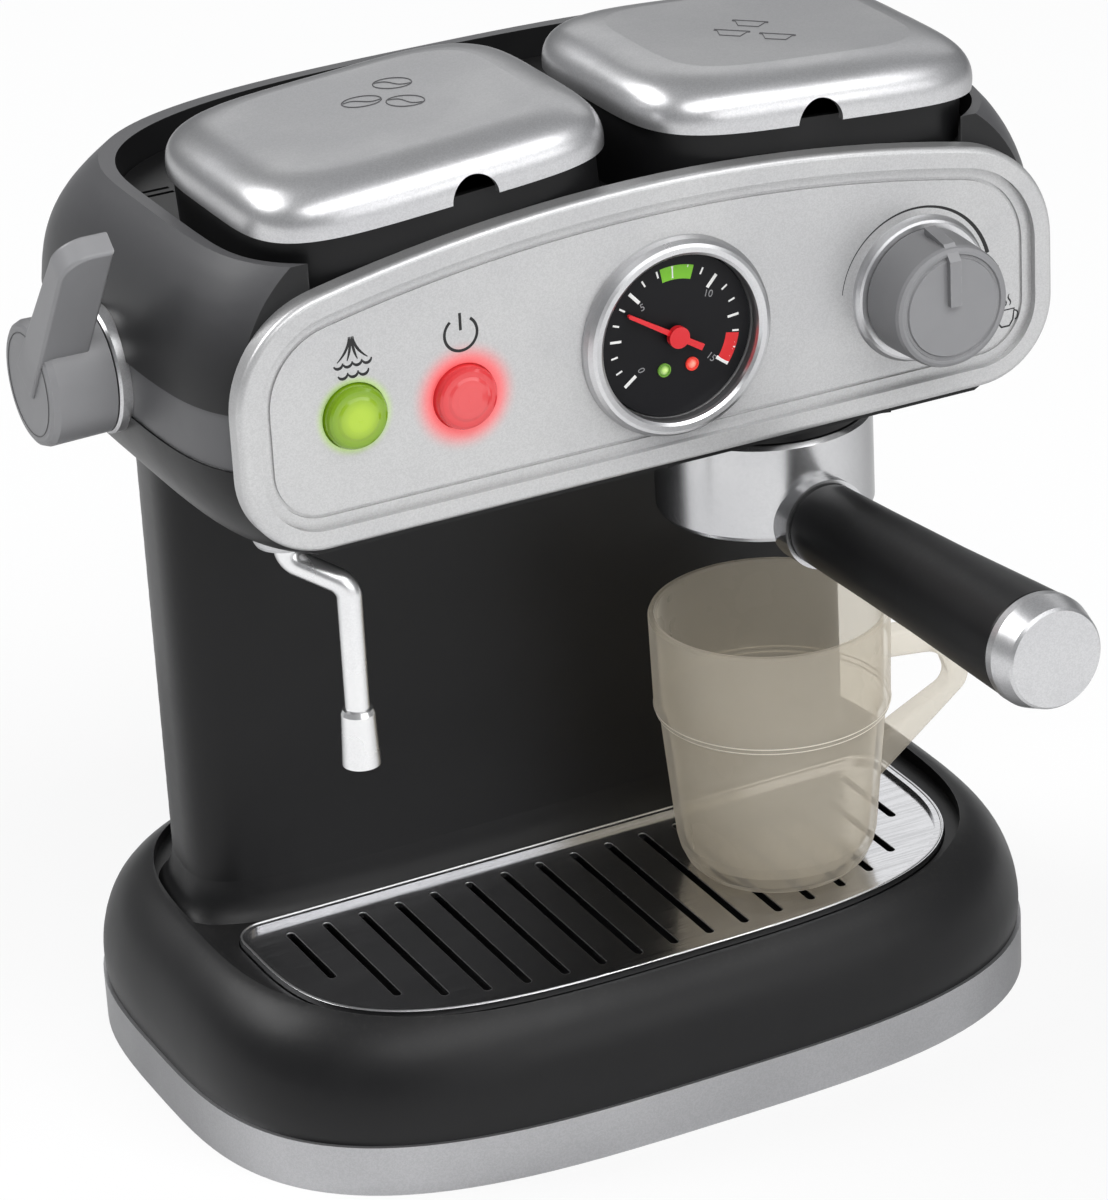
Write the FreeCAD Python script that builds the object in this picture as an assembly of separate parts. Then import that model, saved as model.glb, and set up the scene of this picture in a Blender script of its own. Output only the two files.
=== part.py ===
import FreeCAD, Part
import math
import os
from FreeCAD import Vector as V

os.makedirs("parts", exist_ok=True)

# Millimetres, +Z up, front of the machine towards -Y.
# The origin is the centre of the flat underside.

# Fits
RUN_CLEARANCE = 0.05
EASY_CLEARANCE = 0.35
LOOSE_CLEARANCE = 0.4
UP = V(0, 0, 1)
FORWARD = V(0, -1, 0)
BACKWARD = V(0, 1, 0)
LEFTWARD = V(-1, 0, 0)
RIGHTWARD = V(1, 0, 0)
OUTLINE_STEPS = 36
BEYOND = 200.0

# Base
BASE_HALF_WIDTH = 114.0
BASE_HALF_DEPTH = 85.7
BASE_POWER = 3.2
SKIRT_HEIGHT = 13.2
SKIRT_WALL = 2.4
SKIRT_LEDGE = 3.5
SKIRT_LEDGE_THICK = 1.6
COVER_WALL = 2.4
RIDGE_Z = 42.6
RIDGE_HALF_WIDTH = 99.0
RIDGE_HALF_DEPTH = 75.4
FLOOR_TOP_Z = 39.2
FLOOR_BOTTOM_Z = FLOOR_TOP_Z - COVER_WALL
PLATE_THICK = 2.4
COVER_STEP = 0.9
# Height and inset of the cover's outside.
COVER_PROFILE = ((SKIRT_HEIGHT, COVER_STEP), (18.0, 0.5), (24.0, 1.0), (30.0, 2.6), (35.5, 5.4),
                 (39.5, 8.9), (41.8, 12.0), (RIDGE_Z, 14.0))
COVER_HOLLOW_TOP_INSET = 6.4

# Case screws, and the posts they bite in
SCREW_R = 1.5
SCREW_HEAD_R = 3.0
SCREW_HEAD_HEIGHT = 1.4
SCREW_SINK = 0.1
SCREW_LENGTH = 14.0
SCREW_SIDES = ((97.0, -5.0), (75.0, -61.0), (70.0, 54.0))
POST_R = 3.5

# Drip tray
TRAY_HALF_WIDTH = 91.8
TRAY_CENTRE_Y = -14.0
TRAY_FRONT_DEPTH = 57.8
TRAY_BACK_Y = -1.3
TRAY_CORNER = 8.0
TRAY_LEDGE_WIDTH = 3.0
TRAY_LEDGE_THICK = 1.8
GRILLE_TOP_Z = 39.8
GRILLE_THICK = 1.6
GRILLE_BOTTOM_Z = GRILLE_TOP_Z - GRILLE_THICK
GRILLE_RIM_HEIGHT = 1.2
GRILLE_RIM_WIDTH = 2.0
PAN_FLANGE_THICK = 1.4
PAN_FLANGE_BOTTOM_Z = GRILLE_BOTTOM_Z - PAN_FLANGE_THICK
PAN_BOTTOM_Z = 22.0
PAN_WALL = 1.6
PAN_INSET = 3.9
SLOT_COUNT = 17
SLOT_PITCH = 9.87
SLOT_HALF_WIDTH = 1.15
SLOT_BACK_Y = -8.4
SLOT_FRONT_INSET = 7.2
SLOT_SIDE_INSET = 11.2

# Battery bay in the base
BAY_X = 31.0
BAY_Y = (17.0, 72.0)
BAY_WALL = 1.8
BAY_TOP_Z = 20.4
DOOR_GAP = 0.2
DOOR_SCREW = (0.0, 20.8)
DOOR_SCREW_LENGTH = 9.0
DOOR_POST_R = 3.2
CELL_R = 7.1
CELL_LENGTH = 49.5
CELL_NUB_R = 2.6
CELL_NUB_LENGTH = 1.4
CELL_PITCH = 15.2
CELL_CENTRE_Y = 47.6
CELL_Z = 10.6
CONTACT_HALF_WIDTH = 4.0
CONTACT_HALF_HEIGHT = 5.0
CONTACT_METAL = 0.5

# Column
COLUMN_HALF_WIDTH = 93.3
COLUMN_CENTRE_Y = 24.0
COLUMN_FRONT_DEPTH = 22.0
COLUMN_BACK_DEPTH = 34.0
COLUMN_FRONT_POWER = 4.2
COLUMN_BACK_POWER = 2.6
COLUMN_WALL = 2.6
# Height and growth of the foot's outside.
COLUMN_FOOT = ((FLOOR_TOP_Z, 4.2), (42.0, 2.0), (45.5, 0.6), (49.0, 0.0))
RIB_X = (-30.0, 8.0)
RIB_THICK = 2.4
RIB_HEIGHT = 9.0

# Head: height, half width, front depth, front power, back depth, back power
HEAD_BOTTOM_Z = 166.5
HEAD_SECTIONS = (
    (HEAD_BOTTOM_Z, 99.0, 76.0, 5.0, 60.0, 4.0),
    (172.0, 105.0, 79.0, 5.0, 64.0, 4.1),
    (180.0, 109.8, 81.0, 5.0, 66.8, 4.2),
    (190.0, 111.8, 82.0, 5.0, 68.0, 4.2),
    (204.0, 112.0, 82.0, 5.0, 68.0, 4.2),
    (214.0, 111.0, 81.6, 5.0, 67.2, 4.0),
    (223.0, 108.4, 80.6, 5.0, 65.0, 3.7),
    (230.0, 105.0, 79.0, 5.0, 62.0, 3.3),
    (236.5, 100.2, 76.5, 5.0, 57.2, 3.0),
)
HEAD_WALL = 2.5
BAND_BOTTOM_Z = 190.0
BAND_TOP_Z = 204.0
BAND_STEP = 0.5
OPENING_HALF_WIDTH = 97.2
OPENING_FRONT = 72.0
OPENING_FRONT_POWER = 6.0
OPENING_BACK = 54.0
OPENING_BACK_POWER = 2.8
DECK_FLOOR_Z = 229.0
DECK_THICK = 2.0
DECK_BOTTOM_Z = DECK_FLOOR_Z - DECK_THICK
DECK_FLANGE = 4.0
VENT_X = (-92.5, -83.0)
VENT_Y = 14.0
VENT_PITCH = 3.2
VENT_WIDTH = 1.4

# Front panel
PANEL_BACK_Y = -65.5
PANEL_FRONT_Y = -69.0
PANEL_RIM_FRONT_Y = -70.8
PANEL_HALF_WIDTH = 106.0
PANEL_BOTTOM_Z = 169.3
PANEL_TOP_Z = 239.3
PANEL_ARCH_DROP = 14.4
PANEL_LOWER_CORNER = 20.0
PANEL_UPPER_CORNER = 27.0
PANEL_RIM_WIDTH = 5.0
PANEL_RIM_ROUND = 1.6
PANEL_GROOVE_INSET = 7.6
PANEL_GROOVE_WIDTH = 0.9
PANEL_GROOVE_DEPTH = 0.6

# Gauge
GAUGE_X = 4.7
GAUGE_Z = 200.5
BEZEL_OUTER_R = 24.4
BEZEL_INNER_R = 20.2
BEZEL_HEIGHT = 3.6
DIAL_R = 19.8
DIAL_FLANGE_R = 21.3
DIAL_FLANGE_THICK = 1.6
DIAL_SINK = 0.3
NEEDLE_LENGTH = 14.4
NEEDLE_TAIL = 7.5
NEEDLE_ANGLE = 148.0
NEEDLE_ROOT_WIDTH = 1.6
NEEDLE_TIP_WIDTH = 0.9
NEEDLE_THICK = 0.9
NEEDLE_LIFT = 0.6
NEEDLE_HUB_R = 2.6
NEEDLE_HUB_HEIGHT = 1.6
NEEDLE_SHAFT_R = 0.9
NEEDLE_SHAFT_LENGTH = 6.0

# Push buttons, their board, switches and lamps
BUTTON_PLACES = {"steam": (-77.1, 199.6), "power": (-49.7, 198.0)}
BUTTON_R = 7.6
BUTTON_PROUD = 3.2
BUTTON_TRAVEL = 1.5
BUTTON_FLANGE = 1.6
BUTTON_FLANGE_THICK = 1.4
BOARD_X = (-93.0, -33.0)
BOARD_Z = (184.0, 214.0)
BOARD_FRONT_Y = -55.5
BOARD_THICK = 1.6
BOARD_POST_INSET = 3.0
BOARD_POST_R = 2.2
SWITCH_HALF = 3.0
SWITCH_HEIGHT = 4.5
SWITCH_BORE_DEPTH = 2.7
PLUNGER_R = 1.5
PLUNGER_ENTRY = 0.8
LAMP_R = 1.5
LAMP_HEIGHT = 4.2
LAMP_OFFSET = 5.6

# Selector knob
KNOB_X = 70.0
KNOB_Z = 197.7
KNOB_R = 15.0
KNOB_LENGTH = 15.5
KNOB_RIB_WIDTH = 3.0
COLLAR_R = 17.6
COLLAR_HEIGHT = 2.0
SHAFT_R = 3.0
SHAFT_GROOVE_R = 2.3
SHAFT_TAIL = 1.6
CLIP_R = 5.5
CLIP_THICK = 1.2

# Side lever
LEVER_Y = -6.0
LEVER_Z = 198.0
LEVER_R = 14.8
LEVER_INNER_X = -114.8
LEVER_OUTER_X = -131.0
LEVER_REACH = 52.8
LEVER_LEAN = 40.5
LEVER_FIN_X = (-131.8, -119.4)
LEVER_ROOT_Y = (-3.8, 6.4)
LEVER_TIP_Y = (0.7, 6.7)
LEVER_TIP_ROUND = 7.2
LEVER_EDGE_ROUND = 0.8
LEVER_COLLAR_X = -114.4

# Group and filter holder
GROUP_X = 42.7
GROUP_Y = -39.3
GROUP_PLUG_R = 24.0
GROUP_PLUG_Z = 157.5
BASKET_R = 26.8
BASKET_BOTTOM_Z = 139.0
BASKET_TOP_Z = 164.0
BASKET_WALL = 2.2
BASKET_FLOOR = 2.4
BASKET_OUTLET_R = 3.5
BASKET_HEADROOM = 0.4
LUG_OUT_R = 29.2
LUG_Z = (160.1, 162.4)
LUG_HALF_ANGLE = 14.0
CLAW_OUT_R = 32.0
CLAW_BOTTOM_Z = 158.0
CLAW_HALF_ANGLE = 17.0
HANDLE_RISE = 3.08
HANDLE_AXIS_Z = 143.4
HANDLE_AXIS_START = 28.7
HANDLE_ROOT_R = 10.2
HANDLE_END_R = 13.2
HANDLE_COLLAR_END = 30.5
HANDLE_GRIP_END = 124.6
HANDLE_CAP_END = 132.8
HANDLE_NECK_START = 20.0
STUD_R = 4.0
STUD_START = 25.5
STUD_LENGTH = 27.0
CAP_PLUG_R = 5.0
CAP_PLUG_LENGTH = 7.0
CAP_FACE_R = 11.3

# Lids, drawn about their own centres and then tilted
LID_HALF_WIDTH = 45.2
LID_HALF_DEPTH = 39.0
LID_CENTRE_X = 48.7
LID_CENTRE_Y = -31.0
LID_EDGE_Z = 244.2
LID_TILT = 4.0
LID_WALL = 2.0
LID_POWER = 4.4
LID_PROFILE = ((0.0, 0.0), (3.5, 0.0), (7.0, 1.3), (9.8, 4.4), (11.4, 8.6), (12.0, 12.6))
LID_HOLLOW = ((-1.0, 0.0), (3.5, 0.0), (6.6, 1.5), (9.4, 5.4))
NOTCH_OFFSET = 4.5
NOTCH_R = 5.8
HINGE_Y = 42.6
HINGE_Z = 2.0
HINGE_PIN_R = 1.2
HINGE_HALF_SPAN = 14.0
KNUCKLE_R = 3.0
EAR_GAP = 0.3
EAR_THICK = 4.0

# Storage bins under the lids: half width, front depth and back depth
BIN_SHOULDER = (44.2, 34.4, 38.0)
BIN_LIP = (42.9, 34.4, 36.2)
BIN_LIP_HEIGHT = 3.4
BIN_WALL = 1.6
BIN_FLOOR = 2.0
BIN_BOTTOM_Z = 222.0

# Steam wand
WAND_R = 3.0
WAND_BORE_R = 1.6
WAND_X = -88.5
WAND_Y = -50.0
WAND_TOP_Z = 176.0
WAND_NECK_Z = 160.0
WAND_LOWER = (-77.0, -58.0, 153.5)
WAND_BEND_R = 5.0
WAND_END_Z = 122.0
WAND_SHOULDER_R = 5.0
WAND_SHOULDER_THICK = 2.0
SOCKET_R = 5.4
SOCKET_FLANGE_R = 7.4
SOCKET_FLANGE_THICK = 2.0
SOCKET_TOP_Z = 171.0
NOZZLE_R = 4.4
NOZZLE_END_Z = 107.7
NOZZLE_SEAT_DEPTH = 2.2

# Cup
CUP_RIM_R = 30.0
CUP_RIM_Z = 110.0
CUP_BASE_Z = GRILLE_TOP_Z
CUP_WALL = 1.8
CUP_STEP_Z = 84.0
CUP_STEP_R = 29.2
CUP_WAIST_R = 28.2
CUP_LOWER_R = 25.2
CUP_FOOT_R = 17.6
CUP_EAR_TURN = -10.0
CUP_EAR_WIDTH = 7.4
CUP_EAR_ROUND = 1.8
# Radius and height of the ear's corners, and the rounds between them.
CUP_EAR_OUTSIDE = ((22.0, 99.0), (46.5, 98.0), (52.5, 82.5), (22.0, 54.5))
CUP_EAR_OUTSIDE_ROUNDS = (11.0, 7.0)
CUP_EAR_INSIDE = ((20.0, 91.8), (43.6, 91.0), (46.8, 82.0), (20.0, 66.0))
CUP_EAR_INSIDE_ROUNDS = (5.5, 4.5)

# Water: tank, filler, pump and hose
TANK_HALF_WIDTH = 58.0
TANK_Y = (18.0, 50.0)
TANK_Z = (92.0, 158.0)
TANK_WALL = 1.8
TANK_CORNER = 9.0
FILLER_X = 0.0
FILLER_Y = 40.0
FILLER_R = 7.5
FILLER_WALL = 1.4
FILLER_TOP_Z = 231.5
FILLER_PLUG_LENGTH = 5.0
CAP_RIM = 3.0
CAP_HEIGHT = 3.9
CAP_GRIP_HEIGHT = 3.8
HOSE_R = 3.8
HOSE_BORE_R = 2.2
HOSE_BEND_R = 6.0
HOSE_RISE_Y = 9.5
HOSE_TOP_Z = 178.0
HOSE_OVERLAP = 6.0
SPIGOT_R = HOSE_BORE_R - RUN_CLEARANCE
SPIGOT_BORE_R = 1.3
PUMP_Y = 31.0
PUMP_HEAD_R = 10.5
PUMP_HEAD_HEIGHT = 11.0
PUMP_MOTOR_R = 8.5
PUMP_MOTOR_HEIGHT = 22.0
PUMP_OUTLET_Z = TANK_Z[0] - PUMP_HEAD_HEIGHT / 2


def outline_angles():
    # Directions of the outline's points from its centre, once round.
    return [2.0 * math.pi * i / OUTLINE_STEPS for i in range(OUTLINE_STEPS + 1)]


def outline_offset(angle, half_width, depth, power):
    # Point of the outline (x / half_width)^n + (y / depth)^n = 1 in one direction.
    c = math.cos(angle)
    s = math.sin(angle)
    radius = (abs(c / half_width) ** power + abs(s / depth) ** power) ** (-1.0 / power)
    return radius * c, radius * s


def power_wire(half_width, front, front_power, back, back_power, z, x=0.0, y=0.0):
    # Closed outline whose sides flatten as the power grows. All share one set of knots,
    # so that lofts between them stay light.
    points = []
    for angle in outline_angles()[:OUTLINE_STEPS]:
        behind = math.sin(angle) >= 0
        depth, power = (back, back_power) if behind else (front, front_power)
        px, py = outline_offset(angle, half_width, depth, power)
        points.append(V(x + px, y + py, z))
    curve = Part.BSplineCurve()
    curve.interpolate(Points=points, PeriodicFlag=True, Parameters=outline_angles())
    return Part.Wire([curve.toShape()])


def loft(wires):
    return Part.makeLoft(wires, True, False)


def prism(wire, height):
    return Part.Face(wire).extrude(V(0, 0, height))


def cylinder(radius, height, base, direction=UP):
    return Part.makeCylinder(radius, height, base, direction)


def box(x0, x1, y0, y1, z0, z1):
    return Part.makeBox(x1 - x0, y1 - y0, z1 - z0, V(x0, y0, z0))


def revolve(points, base, direction=UP):
    # Profile points are (radius, height) about the local axis.
    wire = Part.makePolygon([V(r, 0, h) for r, h in points] + [V(points[0][0], 0, points[0][1])])
    body = Part.Face(wire).revolve(V(0, 0, 0), UP, 360)
    body.Placement = FreeCAD.Placement(base, FreeCAD.Rotation(UP, direction))
    return body


def fuse_all(shapes):
    body = shapes[0]
    for shape in shapes[1:]:
        body = body.fuse(shape)
    return body.removeSplitter()


def upright_edges(shape, low=-BEYOND, high=BEYOND):
    # Straight edges along Z whose middle has x between the limits.
    edges = []
    for edge in shape.Edges:
        bound = edge.BoundBox
        if bound.ZLength > 1.0 and bound.XLength < 1e-3 and low < bound.Center.x < high:
            edges.append(edge)
    return edges


def tube(points, bend, radius):
    # Round bar along straight legs joined by arcs.
    corners = [V(*p) for p in points]
    pieces = []
    here = corners[0]
    for before, corner, after in zip(corners, corners[1:], corners[2:]):
        u = (before - corner).normalize()
        w = (after - corner).normalize()
        half = math.acos(u.dot(w)) / 2
        start = corner + u * (bend / math.tan(half))
        end = corner + w * (bend / math.tan(half))
        centre = corner + (u + w).normalize() * (bend / math.sin(half))
        pieces.append(cylinder(radius, (start - here).Length, here, start - here))
        section = Part.Face(Part.Wire(Part.makeCircle(radius, start, u)))
        turn = (start - centre).cross(u * -1)
        pieces.append(section.revolve(centre, turn, 180 - 2 * math.degrees(half)))
        here = end
    pieces.append(cylinder(radius, (corners[-1] - here).Length, here, corners[-1] - here))
    return fuse_all(pieces)


def save(name, shape):
    if isinstance(shape, list):
        shape = Part.makeCompound(shape)
    shape.exportStep("parts/" + name + ".step")


def mirrored_places(places):
    return [(side * x, y) for side in (-1, 1) for x, y in places]


def base_wire(inset, z):
    width = BASE_HALF_WIDTH - inset
    depth = BASE_HALF_DEPTH - inset
    return power_wire(width, depth, BASE_POWER, depth, BASE_POWER, z)


def base_skirt():
    wall = prism(base_wire(0, 0), SKIRT_HEIGHT)
    wall = wall.cut(prism(base_wire(SKIRT_WALL, 0), SKIRT_HEIGHT - SKIRT_LEDGE_THICK))
    return wall.cut(prism(base_wire(SKIRT_WALL + SKIRT_LEDGE, 0), SKIRT_HEIGHT))


def bay_box(grow, z0, z1):
    y0, y1 = BAY_Y
    return box(-BAY_X - grow, BAY_X + grow, y0 - grow, y1 + grow, z0, z1)


def screw_hole(x, y):
    shaft = cylinder(SCREW_R + LOOSE_CLEARANCE, PLATE_THICK + 2, V(x, y, -1))
    head = cylinder(SCREW_HEAD_R + LOOSE_CLEARANCE, SCREW_HEAD_HEIGHT, V(x, y, 0))
    return shaft.fuse(head)


def base_plate():
    plate = prism(base_wire(SKIRT_WALL + RUN_CLEARANCE, 0), PLATE_THICK)
    plate = plate.cut(bay_box(0, -1, PLATE_THICK + 1))
    for x, y in mirrored_places(SCREW_SIDES):
        plate = plate.cut(screw_hole(x, y))
    return plate


def screw(x, y, length):
    head = cylinder(SCREW_HEAD_R, SCREW_HEAD_HEIGHT - SCREW_SINK, V(x, y, SCREW_SINK))
    return head.fuse(cylinder(SCREW_R, length, V(x, y, SCREW_SINK))).removeSplitter()


def case_screws():
    screws = [screw(x, y, SCREW_LENGTH) for x, y in mirrored_places(SCREW_SIDES)]
    screws.append(screw(*DOOR_SCREW, DOOR_SCREW_LENGTH))
    return screws


def tray_block(inset, z, height):
    # Flat back with small corners, and a long round front.
    half = TRAY_HALF_WIDTH - inset
    front = TRAY_FRONT_DEPTH - inset
    back = TRAY_BACK_Y - inset
    outline = power_wire(half, front, BASE_POWER, front, BASE_POWER, z, 0.0, TRAY_CENTRE_Y)
    block = prism(outline, height)
    block = block.cut(box(-BEYOND, BEYOND, back, BEYOND, z - 1, z + height + 1))
    corners = [e for e in upright_edges(block) if abs(e.BoundBox.YMax - back) < 1e-3]
    return block.makeFillet(max(TRAY_CORNER - inset, 1.0), corners)


def column_wire(grow, z):
    return power_wire(COLUMN_HALF_WIDTH + grow, COLUMN_FRONT_DEPTH + grow, COLUMN_FRONT_POWER,
                      COLUMN_BACK_DEPTH + grow, COLUMN_BACK_POWER, z, 0.0, COLUMN_CENTRE_Y)


def base_cover():
    body = loft([base_wire(inset, z) for z, inset in COVER_PROFILE])
    floor = power_wire(RIDGE_HALF_WIDTH, RIDGE_HALF_DEPTH, BASE_POWER, RIDGE_HALF_DEPTH,
                       BASE_POWER, FLOOR_TOP_Z)
    body = body.cut(prism(floor, RIDGE_Z))
    hollow = [row for row in COVER_PROFILE if row[0] < FLOOR_BOTTOM_Z - COVER_WALL]
    hollow.append((FLOOR_BOTTOM_Z, COVER_HOLLOW_TOP_INSET))
    body = body.cut(loft([base_wire(inset + COVER_WALL, z) for z, inset in hollow]))
    ledge_z = PAN_FLANGE_BOTTOM_Z - TRAY_LEDGE_THICK
    body = body.fuse(tray_block(-TRAY_LEDGE_WIDTH, ledge_z, FLOOR_TOP_Z - ledge_z - 1))
    for x, y in mirrored_places(SCREW_SIDES):
        body = body.fuse(cylinder(POST_R, FLOOR_TOP_Z - 1 - PLATE_THICK, V(x, y, PLATE_THICK)))
    body = body.cut(tray_block(-EASY_CLEARANCE, PAN_FLANGE_BOTTOM_Z, RIDGE_Z))
    body = body.cut(tray_block(PAN_INSET - EASY_CLEARANCE, ledge_z - 1, RIDGE_Z))
    for x, y in mirrored_places(SCREW_SIDES):
        body = body.cut(cylinder(SCREW_R, SCREW_LENGTH + 1, V(x, y, 0)))
    well = prism(column_wire(-COLUMN_WALL - TRAY_LEDGE_WIDTH, FLOOR_BOTTOM_Z - 1), RIDGE_Z)
    well = well.cut(box(-BEYOND, BEYOND, -BEYOND, TRAY_BACK_Y + TRAY_LEDGE_WIDTH + 2, 0, BEYOND))
    return body.cut(well).removeSplitter()


def drip_pan():
    pan = tray_block(PAN_INSET, PAN_BOTTOM_Z, GRILLE_BOTTOM_Z - PAN_BOTTOM_Z)
    pan = pan.fuse(tray_block(RUN_CLEARANCE, PAN_FLANGE_BOTTOM_Z, PAN_FLANGE_THICK))
    pan = pan.cut(tray_block(PAN_INSET + PAN_WALL, PAN_BOTTOM_Z + PAN_WALL, RIDGE_Z))
    return pan.removeSplitter()


def grille_slot(x):
    # Slot with round ends that follows the tray's front curve.
    half = TRAY_HALF_WIDTH - SLOT_SIDE_INSET
    depth = TRAY_FRONT_DEPTH - SLOT_FRONT_INSET
    reach = (1.0 - abs(x / half) ** BASE_POWER) ** (1.0 / BASE_POWER)
    w = SLOT_HALF_WIDTH
    front = TRAY_CENTRE_Y - depth * reach + w
    back = SLOT_BACK_Y - w
    low = GRILLE_BOTTOM_Z - 1
    high = GRILLE_TOP_Z + 1
    slot = box(x - w, x + w, front, back, low, high)
    ends = [cylinder(w, high - low, V(x, y, low)) for y in (front, back)]
    return fuse_all([slot] + ends)


def drip_grille():
    plate = tray_block(0, GRILLE_BOTTOM_Z, GRILLE_THICK + GRILLE_RIM_HEIGHT)
    plate = plate.cut(tray_block(GRILLE_RIM_WIDTH, GRILLE_TOP_Z, GRILLE_RIM_HEIGHT + 1))
    for i in range(SLOT_COUNT):
        plate = plate.cut(grille_slot((i - (SLOT_COUNT - 1) / 2) * SLOT_PITCH))
    return plate


def column_shell():
    foot_top = COLUMN_FOOT[-1][0]
    outer = loft([column_wire(grow, z) for z, grow in COLUMN_FOOT])
    outer = outer.cut(box(-BEYOND, BEYOND, -BEYOND, TRAY_BACK_Y + LOOSE_CLEARANCE, 0, foot_top))
    outer = outer.fuse(prism(column_wire(0, foot_top), HEAD_BOTTOM_Z - foot_top))
    body = outer.cut(prism(column_wire(-COLUMN_WALL, FLOOR_TOP_Z), HEAD_BOTTOM_Z))
    inside = prism(column_wire(-COLUMN_WALL / 2, TANK_Z[0] - RIB_HEIGHT), RIB_HEIGHT)
    for x in RIB_X:
        rib = box(x, x + RIB_THICK, -BEYOND, BEYOND, TANK_Z[0] - RIB_HEIGHT, TANK_Z[0])
        body = body.fuse(rib.common(inside))
    return body.removeSplitter()


def head_wire(inset, z):
    # Outline of the head at any height, between the listed ones.
    pairs = zip(HEAD_SECTIONS, HEAD_SECTIONS[1:])
    lower, upper = next(pair for pair in pairs if z <= pair[1][0])
    t = (z - lower[0]) / (upper[0] - lower[0])
    _, width, front, front_power, back, back_power = [p + (q - p) * t for p, q in zip(lower, upper)]
    return power_wire(width - inset, front - inset, front_power, back - inset, back_power, z)


def head_loft(inset, low, high):
    heights = {low, high} | {row[0] for row in HEAD_SECTIONS if low < row[0] < high}
    return loft([head_wire(inset, z) for z in sorted(heights)])


def front_cut():
    # Everything ahead of the panel's back face.
    return box(-BEYOND, BEYOND, -BEYOND, PANEL_BACK_Y, HEAD_BOTTOM_Z - 1, BEYOND + 100)


def lever_bore():
    depth = LEVER_OUTER_X + HEAD_SECTIONS[0][1]
    base = V(-HEAD_SECTIONS[0][1], LEVER_Y, LEVER_Z)
    return cylinder(SHAFT_R + RUN_CLEARANCE, -depth, base, LEFTWARD)


def head_lower_shell():
    body = head_loft(0, HEAD_BOTTOM_Z, BAND_BOTTOM_Z)
    body = body.cut(head_loft(HEAD_WALL, HEAD_BOTTOM_Z + HEAD_WALL, BAND_BOTTOM_Z))
    body = body.cut(front_cut())
    low = HEAD_BOTTOM_Z - 1
    body = body.cut(prism(column_wire(-COLUMN_WALL, low), HEAD_WALL + 2))
    body = body.cut(cylinder(SOCKET_R + RUN_CLEARANCE, HEAD_WALL + 2, V(WAND_X, WAND_Y, low)))
    return body.cut(cylinder(HOSE_R + EASY_CLEARANCE, HEAD_WALL + 2, V(GROUP_X, GROUP_Y, low)))


def side_band():
    body = head_loft(BAND_STEP, BAND_BOTTOM_Z, BAND_TOP_Z)
    body = body.cut(head_loft(HEAD_WALL, BAND_BOTTOM_Z, BAND_TOP_Z))
    return body.cut(front_cut()).cut(lever_bore())


def opening_wire(inset, z):
    return power_wire(OPENING_HALF_WIDTH - inset, OPENING_FRONT - inset, OPENING_FRONT_POWER,
                      OPENING_BACK - inset, OPENING_BACK_POWER, z)


def head_upper_shell():
    body = head_loft(0, BAND_TOP_Z, HEAD_SECTIONS[-1][0])
    body = body.cut(head_loft(HEAD_WALL, BAND_TOP_Z, DECK_BOTTOM_Z))
    body = body.cut(prism(opening_wire(0, DECK_BOTTOM_Z - 1), HEAD_SECTIONS[-1][0]))
    return body.cut(front_cut())


def tilted(shape, side):
    # Puts a shape drawn about the lid's own centre in its place on one side.
    moved = shape.copy()
    moved.Placement = FreeCAD.Placement(V(side * LID_CENTRE_X, LID_CENTRE_Y, LID_EDGE_Z),
                                        FreeCAD.Rotation(BACKWARD, side * LID_TILT))
    return moved


def lid_wire(inset, z):
    width = LID_HALF_WIDTH - inset
    depth = LID_HALF_DEPTH - inset
    return power_wire(width, depth, LID_POWER, depth, LID_POWER, z)


def lid(side):
    body = loft([lid_wire(inset, z) for z, inset in LID_PROFILE])
    body = body.cut(loft([lid_wire(inset + LID_WALL, z) for z, inset in LID_HOLLOW]))
    notch = V(-side * NOTCH_OFFSET, -LID_HALF_DEPTH - 1, 0)
    body = body.cut(cylinder(NOTCH_R, LID_WALL + 4, notch, BACKWARD))
    span = HINGE_HALF_SPAN
    knuckle = cylinder(KNUCKLE_R, 2 * span, V(-span, HINGE_Y, HINGE_Z), RIGHTWARD)
    arm = box(-span, span, LID_HALF_DEPTH - LID_WALL / 2, HINGE_Y,
              HINGE_Z - HINGE_PIN_R, HINGE_Z + KNUCKLE_R)
    body = fuse_all([body, knuckle, arm])
    bore = cylinder(HINGE_PIN_R + RUN_CLEARANCE, 4 * span, V(-2 * span, HINGE_Y, HINGE_Z), RIGHTWARD)
    return tilted(body.cut(bore), side)


def hinge_pins():
    reach = HINGE_HALF_SPAN + EAR_GAP + EAR_THICK
    pin = cylinder(HINGE_PIN_R, 2 * reach, V(-reach, HINGE_Y, HINGE_Z), RIGHTWARD)
    return [tilted(pin, side) for side in (-1, 1)]


def bin_wire(size, inset, z):
    width, front, back = size
    return power_wire(width - inset, front - inset, LID_POWER, back - inset, LID_POWER, z)


def hinge_ear(x):
    # Upright lug that holds one end of a hinge pin.
    foot = DECK_BOTTOM_Z - LID_EDGE_Z - KNUCKLE_R
    ear = box(x, x + EAR_THICK, HINGE_Y - KNUCKLE_R, HINGE_Y + KNUCKLE_R, foot, HINGE_Z)
    ear = ear.fuse(cylinder(KNUCKLE_R, EAR_THICK, V(x, HINGE_Y, HINGE_Z), RIGHTWARD))
    return ear.cut(cylinder(HINGE_PIN_R, EAR_THICK, V(x, HINGE_Y, HINGE_Z), RIGHTWARD))


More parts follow.
